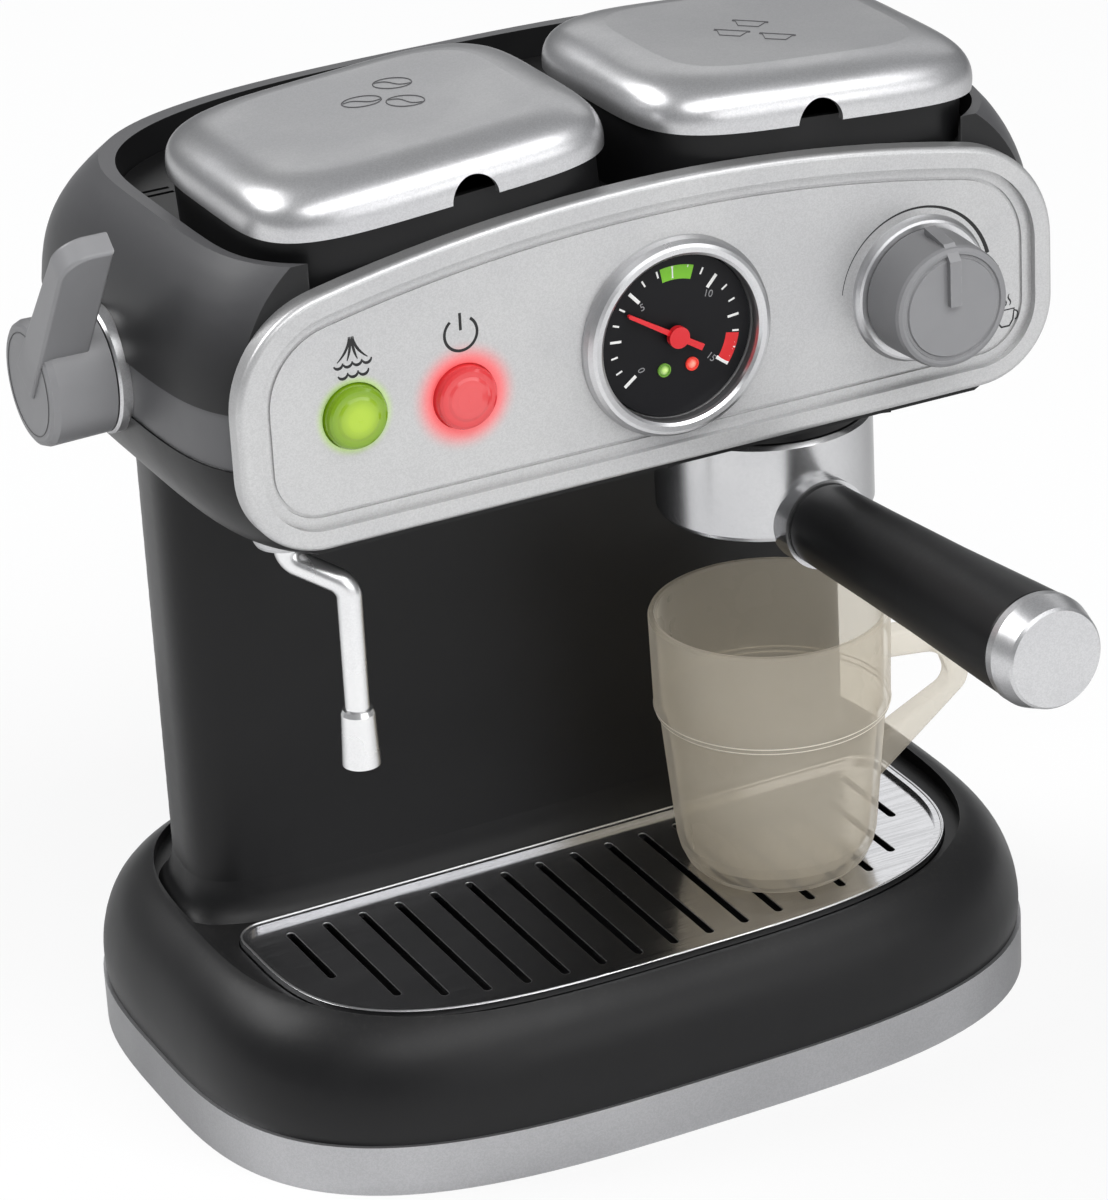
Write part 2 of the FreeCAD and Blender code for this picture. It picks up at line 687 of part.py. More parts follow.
def deck_side(side):
    # Bin walls and hinge ears of one lid.
    depth = LID_EDGE_Z - BIN_BOTTOM_Z
    walls = prism(bin_wire(BIN_SHOULDER, 0, -depth), depth)
    walls = walls.fuse(prism(bin_wire(BIN_LIP, 0, -1), 1 + BIN_LIP_HEIGHT))
    span = HINGE_HALF_SPAN + EAR_GAP
    ears = hinge_ear(-span - EAR_THICK).fuse(hinge_ear(span))
    below = box(-BEYOND, BEYOND, -BEYOND, BEYOND, 0, DECK_BOTTOM_Z)
    return tilted(walls, side).fuse(tilted(ears, side).cut(below))


def bin_hollow(side):
    depth = LID_EDGE_Z - BIN_BOTTOM_Z - BIN_FLOOR
    return tilted(prism(bin_wire(BIN_LIP, BIN_WALL, -depth), depth + 3 * BIN_LIP_HEIGHT), side)


def top_deck():
    plate = prism(opening_wire(EASY_CLEARANCE, DECK_BOTTOM_Z), DECK_THICK)
    flange = prism(opening_wire(-DECK_FLANGE, DECK_BOTTOM_Z - DECK_THICK), DECK_THICK)
    body = fuse_all([plate, flange, deck_side(-1), deck_side(1)])
    for side in (-1, 1):
        body = body.cut(bin_hollow(side))
    low = DECK_BOTTOM_Z - DECK_THICK - 1
    hole = cylinder(FILLER_R + EASY_CLEARANCE, 10, V(FILLER_X, FILLER_Y, low))
    body = body.cut(hole)
    for i in range(2):
        y = VENT_Y + VENT_PITCH * i
        body = body.cut(box(VENT_X[0], VENT_X[1], y, y + VENT_WIDTH, low, DECK_FLOOR_Z + 1))
    return body.cut(front_cut()).removeSplitter()


def panel_prism(inset, y_front, y_back):
    # Straight bottom and sides, arched top, rounded corners.
    half = PANEL_HALF_WIDTH - inset
    low = PANEL_BOTTOM_Z + inset
    top = PANEL_TOP_Z - inset
    side_top = top - PANEL_ARCH_DROP * (half / PANEL_HALF_WIDTH) ** 2
    corners = [V(-half, y_front, low), V(half, y_front, low), V(half, y_front, side_top),
               V(-half, y_front, side_top)]
    edges = [Part.makeLine(corners[0], corners[1]), Part.makeLine(corners[1], corners[2]),
             Part.Arc(corners[2], V(0, y_front, top), corners[3]).toShape(),
             Part.makeLine(corners[3], corners[0])]
    body = Part.Face(Part.Wire(edges)).extrude(V(0, y_back - y_front, 0))
    for height, rounding in ((low, PANEL_LOWER_CORNER), (side_top, PANEL_UPPER_CORNER)):
        across = [e for e in body.Edges
                  if e.BoundBox.DiagonalLength - e.BoundBox.YLength < 1e-3
                  and abs(e.BoundBox.ZMin - height) < 1e-3]
        body = body.makeFillet(rounding - inset, across)
    return body


def panel_bore(x, z, radius):
    return cylinder(radius, BEYOND, V(x, PANEL_RIM_FRONT_Y - 1, z), BACKWARD)


def board_post_places():
    inset = BOARD_POST_INSET
    return [(x, z) for x in (BOARD_X[0] + inset, BOARD_X[1] - inset)
            for z in (BOARD_Z[0] + inset, BOARD_Z[1] - inset)]


def front_panel():
    body = panel_prism(0, PANEL_RIM_FRONT_Y, PANEL_BACK_Y)
    rim = [e for e in body.Edges if abs(e.BoundBox.YMin - PANEL_RIM_FRONT_Y) < 1e-3
           and e.BoundBox.YLength < 1e-3]
    body = body.makeFillet(PANEL_RIM_ROUND, rim)
    body = body.cut(panel_prism(PANEL_RIM_WIDTH, PANEL_RIM_FRONT_Y - 1, PANEL_FRONT_Y))
    groove_floor = PANEL_FRONT_Y + PANEL_GROOVE_DEPTH
    groove = panel_prism(PANEL_GROOVE_INSET, PANEL_FRONT_Y - 1, groove_floor)
    inside = PANEL_GROOVE_INSET + PANEL_GROOVE_WIDTH
    body = body.cut(groove.cut(panel_prism(inside, PANEL_FRONT_Y - 2, groove_floor + 1)))
    length = BOARD_FRONT_Y - PANEL_BACK_Y
    for x, z in board_post_places():
        body = body.fuse(cylinder(BOARD_POST_R, length, V(x, PANEL_BACK_Y, z), BACKWARD))
    for x, z in BUTTON_PLACES.values():
        body = body.cut(panel_bore(x, z, BUTTON_R + EASY_CLEARANCE))
    body = body.cut(panel_bore(GAUGE_X, GAUGE_Z, DIAL_R + LOOSE_CLEARANCE))
    return body.cut(panel_bore(KNOB_X, KNOB_Z, SHAFT_R + RUN_CLEARANCE))


def gauge_bezel():
    r0 = BEZEL_INNER_R
    r1 = BEZEL_OUTER_R
    h = BEZEL_HEIGHT
    profile = ((r0, 0), (r1, 0), (r1, 0.22 * h), (r1 - 0.5, 0.6 * h), (r1 - 1.3, 0.9 * h),
               (r1 - 2.1, h), (r0 + 0.9, h), (r0 + 0.2, 0.85 * h), (r0, 0.6 * h))
    return revolve(profile, V(GAUGE_X, PANEL_FRONT_Y, GAUGE_Z), FORWARD)


def gauge_dial():
    base = V(GAUGE_X, PANEL_BACK_Y + DIAL_FLANGE_THICK, GAUGE_Z)
    thick = base.y - PANEL_FRONT_Y - DIAL_SINK
    disc = cylinder(DIAL_R, thick, base, FORWARD)
    flange = cylinder(DIAL_FLANGE_R, DIAL_FLANGE_THICK, base, FORWARD)
    bore = cylinder(NEEDLE_SHAFT_R + RUN_CLEARANCE, 2 * thick, base + BACKWARD, FORWARD)
    return disc.fuse(flange).cut(bore).removeSplitter()


def gauge_needle():
    # Drawn pointing along +X, then turned to its reading.
    hub = cylinder(NEEDLE_HUB_R, NEEDLE_HUB_HEIGHT, V(0, 0, 0), FORWARD)
    shaft = cylinder(NEEDLE_SHAFT_R, NEEDLE_SHAFT_LENGTH, V(0, 0, 0), BACKWARD)
    root = NEEDLE_ROOT_WIDTH / 2
    tip = NEEDLE_TIP_WIDTH / 2
    outline = [V(-NEEDLE_TAIL, 0, -root), V(NEEDLE_LENGTH, 0, -tip), V(NEEDLE_LENGTH + tip, 0, 0),
               V(NEEDLE_LENGTH, 0, tip), V(-NEEDLE_TAIL, 0, root), V(-NEEDLE_TAIL, 0, -root)]
    blade = Part.Face(Part.makePolygon(outline)).extrude(V(0, -NEEDLE_THICK, 0))
    body = fuse_all([hub, shaft, blade])
    body.Placement = FreeCAD.Placement(V(GAUGE_X, PANEL_FRONT_Y - NEEDLE_LIFT, GAUGE_Z),
                                       FreeCAD.Rotation(FORWARD, NEEDLE_ANGLE))
    return body


def push_button(name):
    # Domed cap behind a flange, with the plunger that enters its switch.
    x, z = BUTTON_PLACES[name]
    r = BUTTON_R
    h = BUTTON_PROUD
    flange_front = PANEL_FRONT_Y - PANEL_BACK_Y
    flange_back = flange_front - BUTTON_FLANGE_THICK
    plunger_end = PANEL_FRONT_Y - BOARD_FRONT_Y + SWITCH_HEIGHT - PLUNGER_ENTRY
    profile = ((0, plunger_end), (PLUNGER_R, plunger_end), (PLUNGER_R, flange_back),
               (r + BUTTON_FLANGE, flange_back), (r + BUTTON_FLANGE, flange_front), (r, flange_front),
               (r, 0.45 * h), (r - 0.4, 0.66 * h), (r - 1.0, 0.76 * h), (r - 1.9, 0.78 * h),
               (r - 2.3, 0.8 * h), (r - 3.0, 0.9 * h), (r - 4.6, 0.97 * h), (0, h))
    return revolve(profile, V(x, PANEL_FRONT_Y, z), FORWARD)


def circuit_board():
    board = box(*BOARD_X, BOARD_FRONT_Y, BOARD_FRONT_Y + BOARD_THICK, *BOARD_Z)
    for x, z in board_post_places():
        hole = cylinder(BOARD_POST_R / 2, BOARD_THICK + 2, V(x, BOARD_FRONT_Y - 1, z), BACKWARD)
        board = board.cut(hole)
    return board


def button_switches():
    switches = []
    front = BOARD_FRONT_Y - SWITCH_HEIGHT
    for x, z in BUTTON_PLACES.values():
        body = box(x - SWITCH_HALF, x + SWITCH_HALF, front, BOARD_FRONT_Y,
                   z - SWITCH_HALF, z + SWITCH_HALF)
        bore = cylinder(PLUNGER_R + RUN_CLEARANCE, SWITCH_BORE_DEPTH, V(x, front, z), BACKWARD)
        switches.append(body.cut(bore))
    return switches


def button_lamps():
    lamps = []
    for x, z in BUTTON_PLACES.values():
        lamp = cylinder(LAMP_R, LAMP_HEIGHT, V(x, BOARD_FRONT_Y, z + LAMP_OFFSET), FORWARD)
        tip = [e for e in lamp.Edges if abs(e.BoundBox.YMax - BOARD_FRONT_Y + LAMP_HEIGHT) < 1e-3]
        lamps.append(lamp.makeFillet(0.8 * LAMP_R, tip))
    return lamps


def selector_collar():
    r0 = SHAFT_R + LOOSE_CLEARANCE
    r1 = COLLAR_R
    h = COLLAR_HEIGHT
    profile = ((r0, 0), (r1 + 0.6, 0), (r1 + 0.3, 0.4 * h), (r1 - 0.3, 0.85 * h), (r1 - 0.9, h), (r0, h))
    return revolve(profile, V(KNOB_X, PANEL_FRONT_Y, KNOB_Z), FORWARD)


def shaft_profile(wall, end):
    # Grooved shaft from the clip's side of a wall back to a knob, heights from the wall's back.
    return ((0, -CLIP_THICK - SHAFT_TAIL), (SHAFT_R, -CLIP_THICK - SHAFT_TAIL), (SHAFT_R, -CLIP_THICK),
            (SHAFT_GROOVE_R, -CLIP_THICK), (SHAFT_GROOVE_R, 0), (SHAFT_R, wall), (SHAFT_R, end), (0, end))


def selector_knob():
    low = COLLAR_HEIGHT + EAR_GAP
    top = KNOB_LENGTH
    r = KNOB_R
    profile = ((0, low), (r + 0.5, low), (r + 0.5, low + 1.0), (r, top - 1.2), (r - 0.4, top - 0.35),
               (r - 1.2, top), (r - 1.9, top), (r - 2.2, top - 0.5), (r - 2.8, top - 0.5),
               (r - 3.1, top), (0, top))
    knob = revolve(profile, V(0, 0, 0), FORWARD)
    outline = [V(0, -low - 3, r - 1), V(0, -low - 3, r + 2.2), V(0, -top + 1.5, r + 0.6),
               V(0, -top - 1.5, r - 3), V(0, -top - 1.5, 0.8), V(0, -top + 1, 0.8)]
    rib = Part.Face(Part.makePolygon(outline + outline[:1])).extrude(V(KNOB_RIB_WIDTH, 0, 0))
    rib.translate(V(-KNOB_RIB_WIDTH / 2, 0, 0))
    wall = PANEL_BACK_Y - PANEL_FRONT_Y
    shaft = revolve(shaft_profile(0.1, wall + low + 1), V(0, wall, 0), FORWARD)
    body = fuse_all([knob, rib, shaft])
    body.translate(V(KNOB_X, PANEL_FRONT_Y, KNOB_Z))
    return body


def shaft_clips():
    # Rings that sit in the shafts' grooves, one behind the panel and one inside the side wall.
    bore = SHAFT_GROOVE_R + RUN_CLEARANCE
    front = cylinder(CLIP_R, CLIP_THICK - RUN_CLEARANCE, V(KNOB_X, PANEL_BACK_Y, KNOB_Z), BACKWARD)
    front = front.cut(cylinder(bore, CLIP_THICK, V(KNOB_X, PANEL_BACK_Y, KNOB_Z), BACKWARD))
    inner_x = -head_half_width(LEVER_Z) + HEAD_WALL
    start = V(inner_x + CLIP_THICK - RUN_CLEARANCE, LEVER_Y, LEVER_Z)
    side = cylinder(CLIP_R, CLIP_THICK, start, LEFTWARD)
    side = side.cut(cylinder(bore, CLIP_THICK, start, LEFTWARD))
    return [front, side.common(head_loft(HEAD_WALL, BAND_BOTTOM_Z, BAND_TOP_Z))]


def head_half_width(z):
    return max(v.X for v in head_wire(0, z).Vertexes)


def lever_collar():
    # Ring that seats on the head's curved side.
    r = LEVER_R
    depth = -LEVER_COLLAR_X - HEAD_SECTIONS[1][1]
    profile = ((SHAFT_R + LOOSE_CLEARANCE, 0), (r + 0.6, 0), (r + 0.6, depth - 0.6), (r, depth),
               (r - 2.2, depth), (r - 2.2, depth - 0.8), (SHAFT_R + LOOSE_CLEARANCE, depth - 0.8))
    ring = revolve(profile, V(-HEAD_SECTIONS[1][1], LEVER_Y, LEVER_Z), LEFTWARD)
    ring = ring.cut(head_loft(0, HEAD_BOTTOM_Z, BAND_BOTTOM_Z))
    ring = ring.cut(head_loft(BAND_STEP, BAND_BOTTOM_Z, BAND_TOP_Z))
    return ring.cut(head_loft(0, BAND_TOP_Z, HEAD_SECTIONS[-1][0]))


def lever_paddle():
    # Fin that thins towards a rounded tip, drawn upright about the hub's axis.
    outer, inner = LEVER_FIN_X
    outline = [V(outer, LEVER_ROOT_Y[0], 0), V(outer, LEVER_TIP_Y[0], LEVER_REACH),
               V(outer, LEVER_TIP_Y[1], LEVER_REACH), V(outer, LEVER_ROOT_Y[1], 0)]
    fin = Part.Face(Part.makePolygon(outline + outline[:1])).extrude(V(inner - outer, 0, 0))
    top = [e for e in fin.Edges if e.BoundBox.ZMin > LEVER_REACH - 1]
    far = [e for e in top if abs(e.BoundBox.XMax - outer) < 1e-3]
    fin = fin.makeFillet(LEVER_TIP_ROUND, far)
    long_edges = [e for e in fin.Edges if e.BoundBox.ZLength > LEVER_REACH / 2]
    return fin.makeFillet(LEVER_EDGE_ROUND, long_edges)


def side_lever():
    length = LEVER_INNER_X - LEVER_OUTER_X
    r = LEVER_R
    face = V(LEVER_INNER_X, LEVER_Y, LEVER_Z)
    hub = revolve(((0, 0), (r, 0), (r + 0.3, length - 2.0), (r - 0.3, length - 0.5),
                   (r - 1.1, length), (0, length)), face, LEFTWARD)
    fin = lever_paddle()
    fin.rotate(V(0, 0, 0), RIGHTWARD, LEVER_LEAN)
    fin.translate(V(0, LEVER_Y, LEVER_Z))
    inner = V(-head_half_width(LEVER_Z) + HEAD_WALL, LEVER_Y, LEVER_Z)
    shaft = revolve(shaft_profile(0.1, inner.x - LEVER_INNER_X + 1), inner, LEFTWARD)
    return fuse_all([hub, fin, shaft])


def group_head():
    r = GROUP_PLUG_R
    flange = BASKET_TOP_Z + BASKET_HEADROOM - GROUP_PLUG_Z
    top = HEAD_BOTTOM_Z - GROUP_PLUG_Z
    spigot = top + HOSE_OVERLAP
    profile = ((SPIGOT_BORE_R, 0), (r, 0), (r, flange), (r + 1.6, flange), (r + 1.6, top),
               (SPIGOT_R, top), (SPIGOT_R, spigot), (SPIGOT_BORE_R, spigot))
    return revolve(profile, V(GROUP_X, GROUP_Y, GROUP_PLUG_Z))


def ring_sector(r0, r1, z0, z1, centre_angle, half_angle):
    outer = Part.makeCylinder(r1, z1 - z0, V(0, 0, z0), UP, 2 * half_angle)
    sector = outer.cut(cylinder(r0, z1 - z0, V(0, 0, z0)))
    sector.rotate(V(0, 0, 0), UP, centre_angle - half_angle)
    sector.translate(V(GROUP_X, GROUP_Y, 0))
    return sector


def bayonet_claws():
    claws = []
    for angle in (0, 180):
        arm = ring_sector(LUG_OUT_R + LOOSE_CLEARANCE, CLAW_OUT_R, CLAW_BOTTOM_Z, HEAD_BOTTOM_Z,
                          angle, CLAW_HALF_ANGLE)
        lip = ring_sector(BASKET_R + LOOSE_CLEARANCE, CLAW_OUT_R, CLAW_BOTTOM_Z, LUG_Z[0],
                          angle, CLAW_HALF_ANGLE)
        claws.append(arm.fuse(lip).removeSplitter())
    return claws


def handle_direction():
    rise = math.radians(HANDLE_RISE)
    return V(0, -math.cos(rise), math.sin(rise))


def on_handle(distance):
    # Point on the handle's axis, measured from under the group's centre.
    drop = HANDLE_AXIS_START * math.tan(math.radians(HANDLE_RISE))
    return V(GROUP_X, GROUP_Y, HANDLE_AXIS_Z - drop) + handle_direction() * distance


def filter_basket():
    r = BASKET_R
    inner = r - BASKET_WALL
    height = BASKET_TOP_Z - BASKET_BOTTOM_Z
    profile = ((BASKET_OUTLET_R, 0), (r - 1.4, 0), (r - 0.4, 0.4), (r, 1.4), (r, height - 1.0),
               (r - 0.9, height), (inner, height), (inner, BASKET_FLOOR + 2.6),
               (inner - 2.0, BASKET_FLOOR + 0.6), (BASKET_OUTLET_R, BASKET_FLOOR))
    body = revolve(profile, V(GROUP_X, GROUP_Y, BASKET_BOTTOM_Z))
    neck = cylinder(HANDLE_ROOT_R + 1.0, HANDLE_COLLAR_END - HANDLE_NECK_START,
                    on_handle(HANDLE_NECK_START), handle_direction())
    core = cylinder(r - BASKET_WALL / 2, BASKET_TOP_Z, V(GROUP_X, GROUP_Y, 0))
    stud = cylinder(STUD_R, STUD_LENGTH, on_handle(STUD_START), handle_direction())
    lugs = [ring_sector(r - BASKET_WALL / 2, LUG_OUT_R, *LUG_Z, angle, LUG_HALF_ANGLE)
            for angle in (0, 180)]
    return fuse_all([body, neck.cut(core), stud.cut(core)] + lugs)


def handle_grip():
    length = HANDLE_GRIP_END - HANDLE_COLLAR_END
    a = HANDLE_ROOT_R
    b = HANDLE_END_R
    stud_bore = STUD_R + RUN_CLEARANCE
    plug_bore = CAP_PLUG_R + RUN_CLEARANCE
    seat = length - CAP_PLUG_LENGTH - 1.0
    profile = ((stud_bore, 0), (a - 0.8, 0), (a, 0.8), (a + 0.5, 0.25 * length),
               (a + 1.3, 0.55 * length), (b - 0.4, 0.88 * length), (b, length - 1.0),
               (b - 0.3, length), (plug_bore, length), (plug_bore, seat), (stud_bore, seat))
    return revolve(profile, on_handle(HANDLE_COLLAR_END), handle_direction())


def handle_cap():
    length = HANDLE_CAP_END - HANDLE_GRIP_END
    b = HANDLE_END_R
    profile = ((0, -CAP_PLUG_LENGTH), (CAP_PLUG_R, -CAP_PLUG_LENGTH), (CAP_PLUG_R, 0), (b + 0.2, 0),
               (b + 0.2, 0.27 * length), (b - 0.1, 0.41 * length), (CAP_FACE_R + 0.6, 0.91 * length),
               (CAP_FACE_R, length), (0, length))
    return revolve(profile, on_handle(HANDLE_GRIP_END), handle_direction())


def steam_wand():
    lower = WAND_LOWER
    points = ((WAND_X, WAND_Y, WAND_TOP_Z), (WAND_X, WAND_Y, WAND_NECK_Z), lower,
              (lower[0], lower[1], WAND_END_Z - NOZZLE_SEAT_DEPTH))
    shoulder = cylinder(WAND_SHOULDER_R, WAND_SHOULDER_THICK, V(WAND_X, WAND_Y, SOCKET_TOP_Z))
    body = fuse_all([tube(points, WAND_BEND_R, WAND_R), shoulder])
    return body.cut(tube(points, WAND_BEND_R, WAND_BORE_R))


def wand_nozzle():
    r = NOZZLE_R
    top = WAND_END_Z - NOZZLE_END_Z
    seat = top - NOZZLE_SEAT_DEPTH
    bore = WAND_R + RUN_CLEARANCE
    profile = ((WAND_BORE_R, 0), (r + 0.2, 0), (r + 0.2, 0.8), (r - 0.3, top - 1.2), (r - 0.8, top),
               (bore, top), (bore, seat), (WAND_BORE_R, seat))
    return revolve(profile, V(WAND_LOWER[0], WAND_LOWER[1], NOZZLE_END_Z))


def wand_socket():
    bore = WAND_R + RUN_CLEARANCE
    r = SOCKET_FLANGE_R
    t = SOCKET_FLANGE_THICK
    top = SOCKET_TOP_Z - HEAD_BOTTOM_Z + t
    profile = ((bore, 0), (r - 0.4, 0), (r, 0.8), (r, t), (SOCKET_R, t), (SOCKET_R, top), (bore, top))
    return revolve(profile, V(WAND_X, WAND_Y, HEAD_BOTTOM_Z - t))


def cup_inside():
    # Radius and height of the cup's inner wall, from the rim down.
    w = CUP_WALL
    return ((CUP_RIM_R - w, CUP_RIM_Z - 0.8), (CUP_STEP_R + 0.3 - w, CUP_STEP_Z + 1.2),
            (CUP_WAIST_R - w, CUP_STEP_Z - 1.5), (CUP_LOWER_R - w, CUP_BASE_Z + 10.2),
            (CUP_LOWER_R - 0.8 - w, CUP_BASE_Z + 7.6), (CUP_LOWER_R - 2.6 - w, CUP_BASE_Z + 4.8),
            (CUP_FOOT_R + 2.2 - w, CUP_BASE_Z + 3.2), (0, CUP_BASE_Z + 2.8))


def ear_slab(corners, rounds, width):
    # Flat slab in the XZ plane whose two outer corners are rounded.
    outline = [V(r, -width / 2, z) for r, z in corners]
    slab = Part.Face(Part.makePolygon(outline + outline[:1])).extrude(V(0, width, 0))
    for (x, z), rounding in zip(corners[1:3], rounds):
        across = [e for e in slab.Edges if abs(e.BoundBox.Center.x - x) < 1e-3
                  and abs(e.BoundBox.Center.z - z) < 1e-3]
        slab = slab.makeFillet(rounding, across)
    return slab


def cup_ear():
    outside = ear_slab(CUP_EAR_OUTSIDE, CUP_EAR_OUTSIDE_ROUNDS, CUP_EAR_WIDTH)
    inside = ear_slab(CUP_EAR_INSIDE, CUP_EAR_INSIDE_ROUNDS, 2 * CUP_EAR_WIDTH)
    ear = outside.cut(inside)
    flat = [e for e in ear.Edges if e.BoundBox.YLength < 1e-3 and e.BoundBox.XMax > CUP_RIM_R]
    return ear.makeFillet(CUP_EAR_ROUND, flat)


def cup():
    r = CUP_RIM_R
    foot = CUP_FOOT_R
    z0 = CUP_BASE_Z
    outside = ((0, z0 + 1.0), (foot - 2.1, z0 + 1.0), (foot - 1.4, z0), (foot, z0), (foot + 3.0, z0 + 1.2),
               (CUP_LOWER_R - 2.2, z0 + 3.6), (CUP_LOWER_R - 0.7, z0 + 7.0), (CUP_LOWER_R, z0 + 10.0),
               (CUP_WAIST_R, CUP_STEP_Z - 1.0), (CUP_STEP_R, CUP_STEP_Z),
               (CUP_STEP_R + 0.3, CUP_STEP_Z + 1.2), (r, CUP_RIM_Z - 0.8), (r - 0.3, CUP_RIM_Z - 0.1),
               (r - 0.9, CUP_RIM_Z), (r - 1.5, CUP_RIM_Z - 0.1))
    body = revolve(outside + cup_inside(), V(GROUP_X, GROUP_Y, 0))
    inner = cup_inside()
    hollow = revolve(inner + ((0, inner[0][1]),), V(0, 0, 0))
    ear = cup_ear().cut(hollow)
    ear.rotate(V(0, 0, 0), UP, CUP_EAR_TURN)
    ear.translate(V(GROUP_X, GROUP_Y, 0))
    return body.fuse(ear).removeSplitter()


def tank_block(inset):
    y0, y1 = TANK_Y
    z0, z1 = TANK_Z
    half = TANK_HALF_WIDTH - inset
    block = box(-half, half, y0 + inset, y1 - inset, z0 + inset, z1 - inset)
    return block.makeFillet(TANK_CORNER - inset, upright_edges(block))


def water_tank():
    z0, z1 = TANK_Z
    neck = cylinder(FILLER_R, FILLER_TOP_Z - z1 + 1, V(FILLER_X, FILLER_Y, z1 - 1))
    body = tank_block(0).fuse(neck).cut(tank_block(TANK_WALL))
    bore = cylinder(FILLER_R - FILLER_WALL, BEYOND, V(FILLER_X, FILLER_Y, z1 - 2 * TANK_WALL))
    drain = cylinder(SPIGOT_R + RUN_CLEARANCE, 3 * TANK_WALL, V(GROUP_X, PUMP_Y, z0 - TANK_WALL))
    return body.cut(bore).cut(drain).removeSplitter()


def tank_cap():
    rim = FILLER_R + CAP_RIM
    plug = FILLER_R - FILLER_WALL - RUN_CLEARANCE
    profile = ((0, -FILLER_PLUG_LENGTH), (plug - 0.9, -FILLER_PLUG_LENGTH),
               (plug, 1.0 - FILLER_PLUG_LENGTH), (plug, 0), (rim, 0), (rim, CAP_HEIGHT - 1.0),
               (rim - 1.0, CAP_HEIGHT), (0, CAP_HEIGHT))
    cap = revolve(profile, V(FILLER_X, FILLER_Y, FILLER_TOP_Z))
    top = FILLER_TOP_Z + CAP_HEIGHT
    grip = box(FILLER_X - FILLER_R, FILLER_X + FILLER_R, FILLER_Y - 1.2, FILLER_Y + 1.2,
               top - 1, top + CAP_GRIP_HEIGHT)
    return fuse_all([cap, grip])


def water_pump():
    # Motor under a pump head, inlet up in the tank's floor, outlet to the front.
    head_low = TANK_Z[0] - PUMP_HEAD_HEIGHT
    profile = ((0, head_low - PUMP_MOTOR_HEIGHT), (PUMP_MOTOR_R, head_low - PUMP_MOTOR_HEIGHT),
               (PUMP_MOTOR_R, head_low), (PUMP_HEAD_R, head_low), (PUMP_HEAD_R, TANK_Z[0]),
               (SPIGOT_R, TANK_Z[0]), (SPIGOT_R, TANK_Z[0] + TANK_WALL), (0, TANK_Z[0] + TANK_WALL))
    body = revolve(profile, V(GROUP_X, PUMP_Y, 0))
    outlet = V(GROUP_X, PUMP_Y, PUMP_OUTLET_Z)
    spigot = cylinder(SPIGOT_R, PUMP_HEAD_R + HOSE_OVERLAP - 1, outlet, FORWARD)
    way = tube(((GROUP_X, PUMP_Y, TANK_Z[0] + TANK_WALL), tuple(outlet),
                (GROUP_X, PUMP_Y - PUMP_HEAD_R - HOSE_OVERLAP, PUMP_OUTLET_Z)),
               2 * SPIGOT_BORE_R, SPIGOT_BORE_R)
    return fuse_all([body, spigot]).cut(way)


def water_hose():
    start_y = PUMP_Y - PUMP_HEAD_R - RUN_CLEARANCE
    points = ((GROUP_X, start_y, PUMP_OUTLET_Z), (GROUP_X, HOSE_RISE_Y, PUMP_OUTLET_Z),
              (GROUP_X, HOSE_RISE_Y, HOSE_TOP_Z), (GROUP_X, GROUP_Y, HOSE_TOP_Z),
              (GROUP_X, GROUP_Y, HEAD_BOTTOM_Z + RUN_CLEARANCE))
    return tube(points, HOSE_BEND_R, HOSE_R).cut(tube(points, HOSE_BEND_R, HOSE_BORE_R))


def battery_box():
    # Open below, with a post for the door's screw.
    body = bay_box(BAY_WALL, PLATE_THICK, BAY_TOP_Z)
    body = body.cut(bay_box(0, 0, BAY_TOP_Z - BAY_WALL))
    x, y = DOOR_SCREW
    post = cylinder(DOOR_POST_R, BAY_TOP_Z - BAY_WALL / 2 - PLATE_THICK, V(x, y, PLATE_THICK))
    return body.fuse(post).cut(cylinder(SCREW_R, DOOR_SCREW_LENGTH + 1, V(x, y, 0))).removeSplitter()


def cell_rows():
    return [CELL_CENTRE_Y + i * CELL_PITCH for i in (-1, 0, 1)]


def batteries():
    cells = []
    for y in cell_rows():
        cell = cylinder(CELL_R, CELL_LENGTH - CELL_NUB_LENGTH, V(-CELL_LENGTH / 2, y, CELL_Z), RIGHTWARD)
        end = V(CELL_LENGTH / 2 - CELL_NUB_LENGTH, y, CELL_Z)
        cells.append(cell.fuse(cylinder(CELL_NUB_R, CELL_NUB_LENGTH, end, RIGHTWARD)).removeSplitter())
    return cells


def battery_contacts():
    # Bent strips between the cells' ends and the bay's walls.
    strips = []
    m = CONTACT_METAL
    low = CELL_Z - CONTACT_HALF_HEIGHT
    for side in (-1, 1):
        x0, x1 = sorted((side * CELL_LENGTH / 2, side * BAY_X))
        for y in cell_rows():
            strip = box(x0, x1, y - CONTACT_HALF_WIDTH, y + CONTACT_HALF_WIDTH,
                        low, CELL_Z + CONTACT_HALF_HEIGHT)
            gap = box(x0 + m, x1 - m, y - BAY_X, y + BAY_X, low + m, BAY_TOP_Z)
            strips.append(strip.cut(gap))
    return strips


def battery_door():
    door = bay_box(-DOOR_GAP, 0, PLATE_THICK)
    return door.cut(screw_hole(*DOOR_SCREW))


